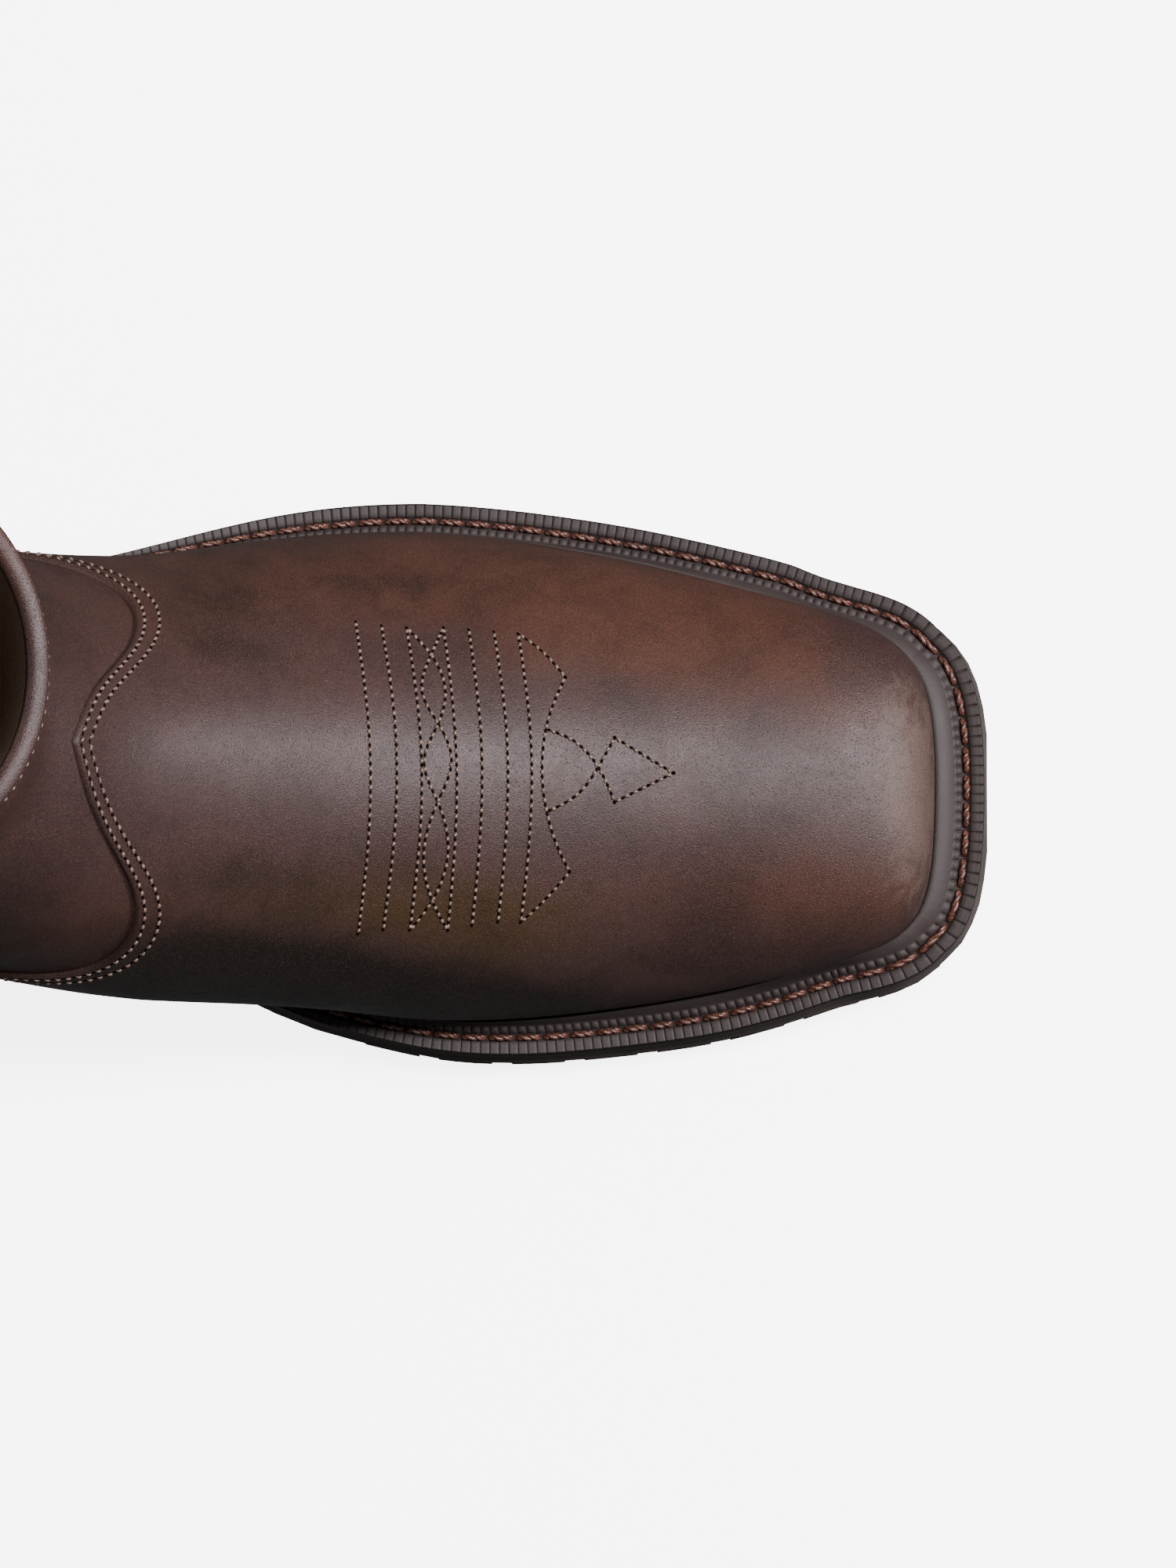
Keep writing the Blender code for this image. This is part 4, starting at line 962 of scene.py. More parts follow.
def dress_leather(piece: bpy.types.Object, material: bpy.types.Material,
                  stands_for: Sequence[str] = (),
                  edge_shade: float = 0.25) -> None:
    """Writes a leather piece's tones and dresses it."""
    add_tones(piece, edge_shade)
    dress(piece, material, stands_for)


@dataclass
class StitchStyle:
    """Sizes of one kind of stitching."""

    pitch: float = 0.0019
    share: float = 0.50
    width: float = 0.00066
    height: float = 0.00046
    # Sizes of the painted shadow cone at each needle hole.
    hole: float = 0.00052
    hole_stretch: float = 1.42
    hole_sink: float = 0.00008
    hole_rise: float = 0.00005
    hole_top: float = 0.55
    slant: float = 0.42


@dataclass
class Stitching:
    """Rows of stitches, and the painted shadow at each needle hole between them, as two light meshes.
    """

    name: str
    style: StitchStyle
    thread: bpy.types.Material
    shadow: bpy.types.Material
    rows: list[tuple[Array, Array]] = field(default_factory=list)

    def add_row(self, path: Array, up: Array) -> None:
        """Adds a row along a path with its outward normals."""
        both = resample(np.hstack([path, up]), self.style.pitch)
        self.rows.append((both[:, :3], unit(both[:, 3:])))

    def add_seen_row(self, pixels: Array) -> None:
        """Adds a row given by places in the picture, cast on the vamp."""
        self.add_row(*cast_on_vamp(resample(pixels, 4.0)))

    def build(self) -> None:
        """Makes the stitches: a capsule of rings set between every two holes."""
        style = self.style
        middle, up = (np.vstack([0.5 * (row[k][1:] + row[k][:-1]) for row in self.rows])
                      for k in (0, 1))
        ahead = np.vstack([np.diff(spots, axis=0) for spots, _ in self.rows])
        length = np.linalg.norm(ahead, axis=1, keepdims=True)
        ahead = ahead / length
        side = unit(np.cross(ahead, up))
        up = np.cross(side, ahead)
        ahead, side = ahead + style.slant * side, side - style.slant * ahead
        t = np.array([-1.0, -0.82, -0.35, 0.35, 0.82, 1.0])
        swell = np.array([0.15, 0.72, 1.0, 1.0, 0.72, 0.15])
        lift = np.array([-0.55, 0.05, 0.42, 0.42, 0.05, -0.55])
        run = 0.5 * style.share * length[:, :, None] * t[None, :, None]
        across = 0.5 * style.width * swell[:, None] * np.cos(SIX_TURNS)[None, :]
        rise = style.height * (lift[:, None] + 0.5 * swell[:, None] * np.sin(SIX_TURNS)[None, :])
        points = (middle[:, None, None] + ahead[:, None, None] * run[..., None]
                  + side[:, None, None] * across[None, ..., None]
                  + up[:, None, None] * rise[None, ..., None])
        faces = strand_faces(len(middle), len(t))
        thread = turned_out(make_object(f"{self.name}_thread", points, faces))
        dress(thread, self.thread)
        self.build_hole_shadows()

    def build_hole_shadows(self) -> None:
        """Makes each hole's shadow: a low six-sided cone lying on the leather."""
        spots, ups = (np.vstack(each) for each in zip(*self.rows))
        side = unit(np.cross(ups, np.vstack([np.gradient(row, axis=0) for row, _ in self.rows])))
        other = np.cross(side, ups) * self.style.hole_stretch
        ring = (np.cos(SIX_TURNS)[None, :, None] * side[:, None]
                + np.sin(SIX_TURNS)[None, :, None] * other[:, None]) * self.style.hole
        low = spots[:, None] + ring - self.style.hole_sink * ups[:, None]
        high = spots[:, None] + self.style.hole_top * ring + self.style.hole_rise * ups[:, None]
        points = np.concatenate([low, high], axis=1)
        holes = make_object(f"{self.name}_holes", points, strand_faces(len(spots), 2))
        dress(turned_out(holes), self.shadow)


# Places along x and the rows that lie near them on the ridge, as a first guess
VAMP_GUESS = ((0.10, 0.119, 0.164, 0.210, 0.262), (10.0, 9.0, 7.0, 5.0, 1.0))


def drop_on_vamp(plan: Array) -> tuple[Array, Array]:
    """Points and outward normals of the vamp under points given in plan.

    u and v are found by a few corrections against the surface's own differences.
    """
    u = np.interp(plan[:, 0], *VAMP_GUESS)
    v = np.clip(-plan[:, 1] / 0.06, -0.8, 0.8)
    for _ in range(12):
        here = LAST.point(u, v)[:, :2]
        du = (LAST.point(u + 0.01, v)[:, :2] - here) / 0.01
        dv = (LAST.point(u, v + 0.001)[:, :2] - here) / 0.001
        miss = plan - here
        det = du[:, 0] * dv[:, 1] - du[:, 1] * dv[:, 0]
        step_u = (miss[:, 0] * dv[:, 1] - miss[:, 1] * dv[:, 0]) / det
        step_v = (du[:, 0] * miss[:, 1] - du[:, 1] * miss[:, 0]) / det
        u = np.clip(u + np.clip(step_u, -0.5, 0.5), 0.5, 11.5)
        v = np.clip(v + np.clip(step_v, -0.1, 0.1), -0.9, 0.9)
    return creased_skin(u, v, Crease.VAMP)


def cast_on_vamp(pixels: Array) -> tuple[Array, Array]:
    """Points and normals of the vamp that places in the picture look at.

    Each place's ray leaves the camera's eye; where it meets the vamp is found by passing
    between a guessed height and the vamp's own height in plan a few times.
    """
    lean = math.radians(CAMERA_LEAN)
    back = np.array([0.0, -math.sin(lean), math.cos(lean)])
    right, up = np.array([1.0, 0.0, 0.0]), np.array([0.0, math.cos(lean), math.sin(lean)])
    wide, high = PICTURE_SIZE
    centred = (pixels - [0.5 * wide, 0.5 * high]) * [1.0, -1.0]
    aside, above = (centred / high * CAMERA_SENSOR / CAMERA_LENS).T
    ray = aside[:, None] * right + above[:, None] * up - back
    eye = np.array(CAMERA_TARGET) + CAMERA_DISTANCE * back
    height = np.full(len(pixels), 0.06)
    for _ in range(5):
        reach = (height - eye[2]) / ray[:, 2]
        spots, ups = drop_on_vamp((eye + reach[:, None] * ray)[:, :2])
        height = spots[:, 2]
    return spots, ups


@dataclass
class Upper:
    """The vamp, the shaft, their lining and the binding round the collar."""

    toe_end: float = 3.0
    toe_rows: int = 34
    vamp_rows: int = 150
    overlap: float = 0.25
    shaft_rows: int = 120
    columns: int = 241
    lining_gap: float = 0.0002
    lining_thickness: float = 0.0006
    lining_rows: int = 110
    lining_columns: int = 121
    binding_columns: int = 321
    binding_reach: float = 0.26
    binding_thickness: float = 0.0008

    def sheet(self, row: Array, drop: float, creases: Crease) -> tuple[Array, Array]:
        """Outer and inner grids of a sheet of the upper.

        The outer grid lies drop inside the last's surface plus the creases' height, and
        the inner grid a wall's thickness inside the surface.
        """
        grid_row, grid_v = grid_of(row, np.linspace(-1.0, 1.0, self.columns))
        u = warped_row(grid_row, grid_v)
        points, normals = LAST.surface(u, grid_v)
        height = crease_height(points, creases) - drop
        inner = points - normals * UPPER_WALL
        outer = points + normals * height[..., None]
        edge = np.zeros(u.shape, bool)
        edge[:, [0, -1]] = (grid_row < HEEL_ROW + 1e-9)[:, [0, -1]]
        edge[0] |= row[0] == 0.0
        seat((outer, inner), edge)
        return outer, inner

    def build(self, leather: bpy.types.Material, lining: bpy.types.Material) -> None:
        """Makes and dresses every piece of the upper."""
        edge = np.linspace(0.0, self.toe_end, self.toe_rows)
        rest = np.linspace(self.toe_end, VAMP_LINE_ROW, self.vamp_rows - self.toe_rows + 1)[1:]
        vamp = wall("vamp", *self.sheet(np.concatenate([edge, rest]), 0.0, Crease.VAMP))
        dress_leather(vamp, leather, ["upper"])
        row = np.linspace(VAMP_LINE_ROW - self.overlap, COLLAR_ROW, self.shaft_rows)
        shaft = wall("shaft", *self.sheet(row, VAMP_STEP, Crease.SHAFT))
        dress_leather(shaft, leather)
        self.build_lining(lining)
        self.build_binding(leather)

    def build_lining(self, lining: bpy.types.Material) -> None:
        """A thin knit inside the wall, from the toes to just below the collar."""
        row, v = grid_of(np.linspace(1.2, COLLAR_ROW - 0.12, self.lining_rows),
                         np.linspace(-1.0, 1.0, self.lining_columns))
        points, normals = LAST.surface(warped_row(row, v), v)
        outer = points - normals * (UPPER_WALL + self.lining_gap)
        inner = outer - normals * self.lining_thickness
        for grid in (outer, inner):
            grid[..., 2] = np.maximum(grid[..., 2], sole_top(grid[..., 0]) + SEAT_GAP)
        dress(wall("lining", outer, inner), lining)

    def build_binding(self, leather: bpy.types.Material) -> None:
        """The collar's binding: a strip folded over the edge, out, over and in.

        Its lanes lie side by side from the outer hem over the edge to the inner hem, and
        each follows the collar's row all the way round.
        """
        v = np.linspace(-1.0, 1.0, self.binding_columns)
        thick = self.binding_thickness

        def lane(row: float, distance: float) -> Array:
            """One lane along a row, at a distance outside the last's surface."""
            return LAST.offset(warped_row(np.full(v.shape, row), v), v, distance)

        hem = np.linspace(COLLAR_ROW - self.binding_reach, COLLAR_ROW, 5)
        puff = np.array([0.0] + 4 * [thick])
        lanes = [lane(row, 0.0001 - VAMP_STEP + rise) for row, rise in zip(hem, puff)]
        for out, rise in ((-0.0004, 0.7), (-0.0020, 1.1), (-0.0036, 0.7)):
            lanes.append(lane(COLLAR_ROW, out) + UP * rise * thick * 1.3)
        lanes += [lane(row, -UPPER_WALL - 0.0001 - rise)
                  for row, rise in zip(hem[::-1], puff[::-1])]
        outer = np.stack(lanes)[:, :-1]
        count = outer.shape[0] * outer.shape[1]
        faces = grid_faces(len(outer) + 1, outer.shape[1], wrap=True) % count
        dress_leather(turned_out(make_object("collar_binding", outer, faces)), leather)


@dataclass
class HeelCounter:
    """The second layer round the heel, with its edge skived thin."""

    rows: int = 90
    columns: int = 34
    edge_share: float = 0.45
    skive: float = 0.10
    tuck: float = 0.0002

    def build(self, leather: bpy.types.Material) -> None:
        """Lays the layer on the shaft between its edge line and the sole or the seam."""
        u = np.concatenate([np.linspace(COUNTER_EDGE[0, 0], HEEL_ROW, 2 * self.rows // 3),
                            np.linspace(HEEL_ROW, COUNTER_EDGE[-1, 0], self.rows // 3)[1:]])
        share = np.linspace(1.0, 0.0, self.columns)
        grid_u, grid_s = grid_of(u, np.concatenate([share, share[::-1]]))
        side = np.concatenate([-np.ones(self.columns), np.ones(self.columns)])
        v = side * (1.0 - (1.0 - counter_edge(grid_u)) * grid_s)
        points, normals = LAST.surface(grid_u, v)
        creased = crease_height(points, Crease.SHAFT)
        skived = self.edge_share + (1.0 - self.edge_share) * smoothstep((1.0 - grid_s) / self.skive)
        low = (creased - VAMP_STEP - self.tuck)[..., None]
        inner = points + normals * low
        outer = points + normals * (low + (self.tuck + COUNTER_THICKNESS * skived)[..., None])
        edge = (np.abs(v) > 1.0 - 1e-9) & (grid_u < HEEL_ROW + 1e-9)
        seat((outer, inner), edge)
        keep = np.ones((len(u) - 1, 2 * self.columns - 1), bool)
        keep[:, self.columns - 1] = False
        # The counter's painted shade just above the sole is twice as strong.
        dress_leather(wall("heel_counter", outer, inner, keep), leather, ["counter"],
                      edge_shade=0.5)


@dataclass
class SideSeam:
    """The bead of leather down each side of the shaft."""

    width: float = 0.0036
    height: float = 0.0018
    top_row: float = 24.6

    def build(self, leather: bpy.types.Material) -> None:
        """Carries a half-round section down both seams."""
        turn = np.linspace(-0.12 * math.pi, 1.12 * math.pi, 12)
        section = np.stack([0.5 * self.width * np.cos(turn), self.height * np.sin(turn)], axis=1)
        for name, sign in (("piping_outer", -1.0), ("piping_inner", 1.0)):
            row = np.linspace(self.top_row, SEAM_LINE[0, 0], 160)
            v = sign * seam_line(row)
            path, normals = creased_skin(warped_row(row, v), v, Crease.SHAFT, -VAMP_STEP)
            side = unit(np.cross(np.gradient(path, axis=0), normals))
            rings = path[:, None] + side[:, None] * section[:, :1] + normals[:, None] * section[:, 1:]
            dress_leather(capped_tube(f"seam_{name}", rings), leather, [name])


@dataclass
class PullStraps:
    """The two looped straps sewn outside and inside the collar."""

    width: float = 0.030
    thickness: float = 0.0022
    loop_height: float = 0.034
    loop_spread: float = 0.016
    end_row: float = 24.9
    outer_gap: float = 0.0006
    inner_gap: float = 0.0010

    def side_parameter(self, level: Array, offset_x: float) -> Array:
        """v on the shaft's side, moved along x from the side line."""
        guess = np.linspace(0.2, 0.8, 121)
        line = LAST.point(*grid_of(level, guess))[..., 0]
        middle = np.array([np.interp(SIDE_LINE, guess, one) for one in line])
        return np.array([np.interp(-(m + offset_x), -one, guess) for m, one in zip(middle, line)])

    def path(self, sign: float, offset_x: float) -> Array:
        """One lane of the strap: up the outside, round a cubic loop, down the inside."""
        level = np.linspace(self.end_row, COLLAR_ROW, 22)
        v = sign * self.side_parameter(level, offset_x)
        u = warped_row(level, v)
        point, normal = LAST.surface(u, v)
        outside = point + normal * (FIT_GAP - VAMP_STEP + self.outer_gap)
        inside = point - normal * (UPPER_WALL + self.inner_gap)
        top_out, top_in, out = outside[-1], inside[-1], normal[-1]
        up = UP * self.loop_height
        t = np.linspace(0.0, 1.0, 48)[1:-1, None]
        loop = ((1 - t) ** 3 * top_out + 3 * t * (1 - t) ** 2 * (top_out + up + out * self.loop_spread)
                + 3 * t * t * (1 - t) * (top_in + up - out * self.loop_spread) + t**3 * top_in)
        return np.vstack([outside, loop, inside[::-1]])

    def build(self, leather: bpy.types.Material, stitching: Stitching) -> None:
        """Makes both straps and sews their edges and ends."""
        across = np.linspace(-0.5, 0.5, 25)
        edge_round = np.sqrt(np.clip(1.0 - (np.abs(across) * 2.0) ** 14, 0.0, 1.0))
        for name, sign in (("outer", -1.0), ("inner", 1.0)):
            lanes = np.stack([self.path(sign, s * self.width) for s in across], axis=1)
            away = unit(np.cross(np.gradient(lanes, axis=0), [-sign, 0.0, 0.0]))
            cover = lanes + away * (self.thickness * (0.35 + 0.55 * edge_round))[None, :, None]
            piece = turned_out(wall(f"strap_{name}", cover, lanes))
            dress_leather(piece, leather, [f"pull_strap_{name}"])
            for column in (3, -4):
                stitching.add_row(cover[:26, column], away[:26, column])
            for row in (3, 17):
                stitching.add_row(cover[row, 3:-3], away[row, 3:-3])


def feather_curve() -> Array:
    """The upper's lower edge in plan, from the heel's back round the outer side and toe."""
    side = HEEL_ROW * np.linspace(1.0, 0.0, 240)
    front = np.linspace(-1.0, 1.0, 122)[1:-1]
    u = np.concatenate([side, np.zeros(len(front)), side[::-1]])
    v = np.concatenate([-np.ones(len(side)), front, np.ones(len(side))])
    return LAST.point(u, v)[:, :2]


def outward(points: Array) -> Array:
    """Unit normals in plan, to the left of the way the points run."""
    ahead = np.gradient(points, axis=0)
    return unit(np.stack([-ahead[:, 1], ahead[:, 0]], axis=-1))


def smoothed(values: Array, reach: int) -> Array:
    """A running mean over 2 reach + 1 places."""
    kernel = np.ones(2 * reach + 1) / (2 * reach + 1)
    return np.convolve(np.pad(values, reach, mode="edge"), kernel, mode="valid")


RIM_PATCHES = (Patch(0.2626, -0.0404, 0.022, 0.015, 0.0025),
               Patch(0.2642, 0.0274, 0.018, 0.016, 0.00125),
               Patch(0.1312, 0.0540, 0.041, 0.020, 0.0020),
               Patch(0.1280, -0.0535, 0.014, 0.020, 0.0014))


def reveal(x: Array) -> Array:
    """How far the solids' sole stands out beyond the upper at x."""
    stops = along(np.array([0.0, 0.26, 0.36, 0.50, 0.62, 0.86, 0.945, 0.97]))
    widths = [0.0026, 0.0026, 0.0042, 0.00635, 0.0085, 0.0108, 0.0090, 0.0130]
    return np.interp(x, stops, widths)


def rim_reach(plan: Array, normals: Array) -> Array:
    """How far the sole's outline stands out from the feather line, run out at the toe's
    corners and the outer waist to the picture's outline."""
    reach = reveal(plan[:, 0]) + OUTSOLE_FLARE
    behind = smoothstep((RIM_TRIM_END - plan[:, 0]) / 0.03)
    trimmed = RIM_TRIM * np.clip(normals[:, 1], 0.0, 1.0) * behind
    return reach + tone(plan + normals * reach[:, None], RIM_PATCHES) + RIM_GAP - trimmed


@dataclass
class RubberSole:
    """The outsole's own solid, with its rim carried out to the picture's outline."""

    hold: float = 0.014
    lug_step: float = 0.35

    def build(self, rubber: bpy.types.Material) -> None:
        """Moves a merged copy of the solid outwards in plan.

        A point's distance out from the feather line grows by the rim's growth there, times
        a smooth rise from hold inside the line to the rim, and lugs step out less.
        """
        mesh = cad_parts["outsole"].data.copy()
        whole = bmesh.new()
        whole.from_mesh(mesh)
        bmesh.ops.remove_doubles(whole, verts=whole.verts, dist=1e-6)
        whole.to_mesh(mesh)
        whole.free()
        points = mesh_points(mesh).astype(float)
        plan = resample(feather_curve(), 0.001)
        normals = outward(plan)
        apart = points[:, None, :2] - plan[None]
        near = np.argmin(np.einsum("ijk,ijk->ij", apart, apart), axis=1)
        out = np.einsum("ij,ij->i", points[:, :2] - plan[near], normals[near])
        solid = reveal(plan[near, 0]) + OUTSOLE_FLARE
        grown = rim_reach(plan, normals)[near] - solid
        share = smoothstep((out + self.hold) / (solid + self.hold))
        past = np.maximum(out - solid, 0.0)
        points[:, :2] += normals[near] * (grown * share - (1.0 - self.lug_step) * past)[:, None]
        mesh.vertices.foreach_set("co", points.astype(np.float32).ravel())
        mesh.shade_smooth()
        mesh.set_sharp_from_angle(angle=math.radians(32.0))
        dress(link("rubber_sole", mesh), rubber, ["outsole"])


@dataclass
class Welt:
    """The storm welt: lip, beads, stitch channel, ribs and ledge, with its thick thread."""

    thickness: float = 0.0032
    lip_height: float = 0.0036
    ledge: float = 0.0004
    step_outer: float = 0.0002
    step_toe: float = 0.0013
    step_inner: float = 0.0011
    rib_band: float = 0.0025
    channel: float = 0.0017
    bead_band: float = 0.0015
    pitch: float = 0.00188
    stitch_pitch: float = 0.0055
    stitch_share: float = 0.98
    stitch_dip: float = 0.0015
    thread_radius: float = 0.00051
    ply_spread: float = 0.52
    ply_turn: float = 4.4
    breast_share: float = 0.278
    least_width: float = 0.0024
    search_height: float = 0.0082
    search_half: float = 0.0013
    search_reach: float = 0.030
    cell: tuple[float, ...] = (0.0, 0.05, 0.08, 0.12, 0.16, 0.36, 0.58, 0.80)
    plan: Array = field(init=False)
    normals: Array = field(init=False)
    run: Array = field(init=False)
    phase: Array = field(init=False)
    base: Array = field(init=False)
    peak: Array = field(init=False)
    rim: Array = field(init=False)
    scale: Array = field(init=False)

    def survey(self) -> None:
        """Works out the welt's path and how far the upper's wall stands over it."""
        plan = feather_curve()
        plan = plan[plan[:, 0] > along(self.breast_share)]
        even = resample(plan, self.pitch / len(self.cell))
        even = np.stack([smoothed(even[:, k], 4) for k in range(2)], axis=1)
        normals = outward(even)
        length = lengths(even)
        cells = np.arange(int(length[-1] / self.pitch))[:, None] + np.array(self.cell)
        self.run = cells.ravel() * self.pitch
        self.phase = np.tile(self.cell, len(cells))
        self.plan = read_columns(self.run, length, even)
        self.normals = unit(read_columns(self.run, length, normals))
        grid_u, grid_v = grid_of(np.linspace(0.0, HEEL_ROW - 2.0, 300), np.linspace(-1.0, 1.0, 321))
        cloud = LAST.point(grid_u, grid_v).reshape(-1, 3)
        rise = cloud[:, 2] - sole_top(cloud[:, 0]) - SEAT_GAP
        cloud, rise = cloud[rise < self.search_height], rise[rise < self.search_height]
        coarse = slice(None, None, 6)
        normal = self.normals[coarse]
        apart = cloud[None, :, :2] - self.plan[coarse][:, None]
        out = np.einsum("ijk,ik->ij", apart, normal)
        beside = np.einsum("ijk,ik->ij", apart, np.stack([-normal[:, 1], normal[:, 0]], axis=1))
        near = (np.abs(beside) < self.search_half) & (np.abs(out) < self.search_reach)
        reach = []
        for height in (0.0, self.thickness, self.thickness + self.lip_height):
            level = near & (np.abs(rise - height) < self.search_half)[None]
            found = np.where(level, out, -1.0).max(axis=1)
            found = np.interp(self.run, self.run[coarse], np.where(found < -0.5, 0.0, found))
            reach.append(smoothed(found, 12) + FIT_GAP)
        self.base, self.peak = np.maximum(reach[0], reach[1]), reach[2]
        toe = np.clip(self.normals[:, 0], 0.0, 1.0) ** 2
        inner = np.clip(-self.normals[:, 1], 0.0, 1.0)
        step = self.step_outer + self.step_toe * toe + self.step_inner * inner * (1.0 - toe)
        bands = self.ledge + self.rib_band + self.channel + self.bead_band
        out = rim_reach(self.plan, self.normals)
        self.rim = np.maximum(out - step, self.base + self.least_width)
        self.scale = np.clip((self.rim - self.base - 0.0004) / (bands + 0.0012), 0.15, 1.0)

    def place(self, out: Array, rise: Array | float) -> Array:
        """Points a distance out from the feather line and up from the sole's face."""
        spot = self.plan + self.normals * out[..., None]
        height = sole_top(spot[..., 0]) + FIT_GAP + rise
        return np.concatenate([spot, height[..., None]], axis=-1)

    def build(self, rubber: bpy.types.Material, thread: bpy.types.Material) -> None:
        """Makes the welt's section at every ring, with ribs and beads as waves of its run."""
        self.survey()
        cut = np.interp(self.phase, self.cell + (1.0,), [0, 0.1, 1, 1, 0.1, 0, 0, 0, 0])
        bead = np.interp(self.phase, self.cell + (1.0,),
                         [0.55, 0.30, 0.0, 0.0, 0.30, 0.85, 1.0, 0.88, 0.55])
        top, k, rim = self.thickness, self.scale, self.rim
        ledge_in = rim - self.ledge * k
        rib_in = ledge_in - self.rib_band * k
        channel_in = rib_in - self.channel * k
        bead_in = channel_in - self.bead_band * k
        lip_in = np.maximum(self.peak, np.minimum(self.base, bead_in - 0.0006))
        lip_mid = 0.5 * (lip_in + bead_in)
        rows = [
            (self.base, 0.0), (rim - 0.0005, 0.0), (rim, 0.0005), (rim, top - 0.0007),
            (rim - 0.00035 * k, top + 0.0001), (ledge_in + 0.0001 * k, top + 0.00016),
            (ledge_in - 0.0001 * k, top + 0.00016 - 0.00045 * cut * k),
            (0.5 * (ledge_in + rib_in), top + 0.0002 - 0.00050 * cut * k),
            (rib_in + 0.0003 * k, top + 0.0002 - 0.00050 * cut * k),
            (rib_in, top - 0.0001 - 0.00040 * cut * k),
            (rib_in - 0.0002 * k, top - 0.0011), (channel_in + 0.0002 * k, top - 0.0011),
            (channel_in, top - 0.0002 + 0.0002 * bead * k),
            (channel_in - 0.00035 * k, top + 0.00065 * k * (0.10 + 0.90 * bead)),
            (0.5 * (channel_in + bead_in), top + 0.00105 * k * (0.15 + 0.85 * bead)),
            (bead_in + 0.00025 * k, top + 0.00105 * k * (0.45 + 0.55 * bead)),
            (bead_in, top + 0.0010 * k),
            (bead_in - 0.0003 * k, top + 0.0014),
            (0.60 * bead_in + 0.40 * lip_in, top + 0.0027),
            (0.30 * bead_in + 0.70 * lip_in, top + self.lip_height - 0.0002),
            (0.12 * bead_in + 0.88 * lip_in, top + self.lip_height),
            (lip_in, top + self.lip_height - 0.0004),
            (np.maximum(np.minimum(lip_mid, self.base), lip_in), top + 0.5 * self.lip_height),
            (self.base, top * 0.8),
        ]
        rings = np.stack([self.place(out, rise) for out, rise in rows], axis=1)
        dress(capped_tube("storm_welt", rings), rubber, ["welt"])
        self.build_thread(0.5 * (rib_in + channel_in), thread)

    def build_thread(self, centre: Array, thread: bpy.types.Material) -> None:
        """Two plies twisted round each other for every stitch, dipping at both its ends.

        Each ply is a tube round a helix; the helix's axis runs in the channel and drops as
        the fourth power of the distance from the stitch's middle.
        """
        count = int(self.run[-1] / self.stitch_pitch)
        starts = (np.arange(count) + 0.5) * self.run[-1] / count
        t = np.linspace(-1.0, 1.0, 21)
        reach = 0.5 * self.stitch_share * self.run[-1] / count
        at = (starts[:, None] + reach * t[None]).ravel()
        plan, normal = (read_columns(at, self.run, table) for table in (self.plan, self.normals))
        whole = np.clip(np.searchsorted(self.run, at, side="right") - 1, 0, len(self.run) - 2)
        spot = plan + normal * centre[whole][:, None]
        dip = np.tile(t**4, count) * self.stitch_dip
        height = sole_top(spot[:, 0]) + FIT_GAP + self.thickness + 0.0001 - dip
        axis, aside = (np.hstack(pair).reshape(count, len(t), 1, 3) for pair in (
            (spot, height[:, None]), (normal, np.zeros((len(normal), 1)))))
        taper = np.sqrt(np.clip(1.0 - 0.80 * np.abs(t) ** 3, 0.0, 1.0))
        radius = self.thread_radius * np.sqrt(self.scale[whole]).reshape(count, len(t)) * taper
        radius = radius[..., None, None]

        def round_axis(turn: Array) -> Array:
            """Directions round the axis: the cosine to its side and the sine up."""
            return np.cos(turn)[..., None] * aside + np.sin(turn)[..., None] * UP

        ring = radius * round_axis(SIX_TURNS[None, None])
        twist = self.ply_turn * t[None, :, None]
        points = [axis + self.ply_spread * radius * round_axis(twist + ply) + ring
                  for ply in (0.0, math.pi)]
        stitches = make_object("welt_thread", np.concatenate(points), strand_faces(2 * count, len(t)))
        dress(turned_out(stitches), thread)


@dataclass(frozen=True)
class ToeStitching:
    """The traditional rows across the vamp, with a waved pair and a lobed tip.

    Each line is the places in the picture that its spline passes through.
    """

    rows: tuple = (
        ((454, 792), (472, 960), (457, 1192)), ((487, 797), (505, 940), (489, 1187)),
        ((519, 800), (537, 951), (523, 1187)), ((566, 800), (582, 964), (571, 1187)),
        ((598, 803), (614, 951), (602, 1181)), ((630, 806), (647, 951), (635, 1176)),
        ((661, 809), (678, 964), (664, 1176)))
    wave: tuple = (
        ((519, 800), (550, 835), (568, 878), (559, 923), (541, 970), (558, 1023), (571, 1090),
         (551, 1149), (523, 1187)),
        ((566, 800), (550, 835), (538, 878), (559, 923), (576, 970), (558, 1023), (540, 1090),
         (551, 1149), (571, 1187)))
    wing: tuple = (
        ((661, 809), (689, 829), (721, 864)),
        ((721, 864), (706, 897), (697, 926), (692, 964), (693, 1009), (697, 1034), (708, 1073),
         (726, 1112)),
        ((726, 1112), (693, 1149), (664, 1176)))
    tip: tuple = (
        ((700, 931), (732, 945), (762, 977), (784, 1023)), ((784, 1023), (859, 986)),
        ((859, 986), (784, 941)), ((784, 941), (762, 980), (738, 1012), (701, 1034)))

    def build(self, stitching: Stitching) -> None:
        """Sews every line on the vamp."""
        for line in (*self.rows, *self.wave, *self.wing, *self.tip):
            places = np.asarray(line, float)
            stitching.add_seen_row(smooth_line(places) if len(line) > 2 else places)


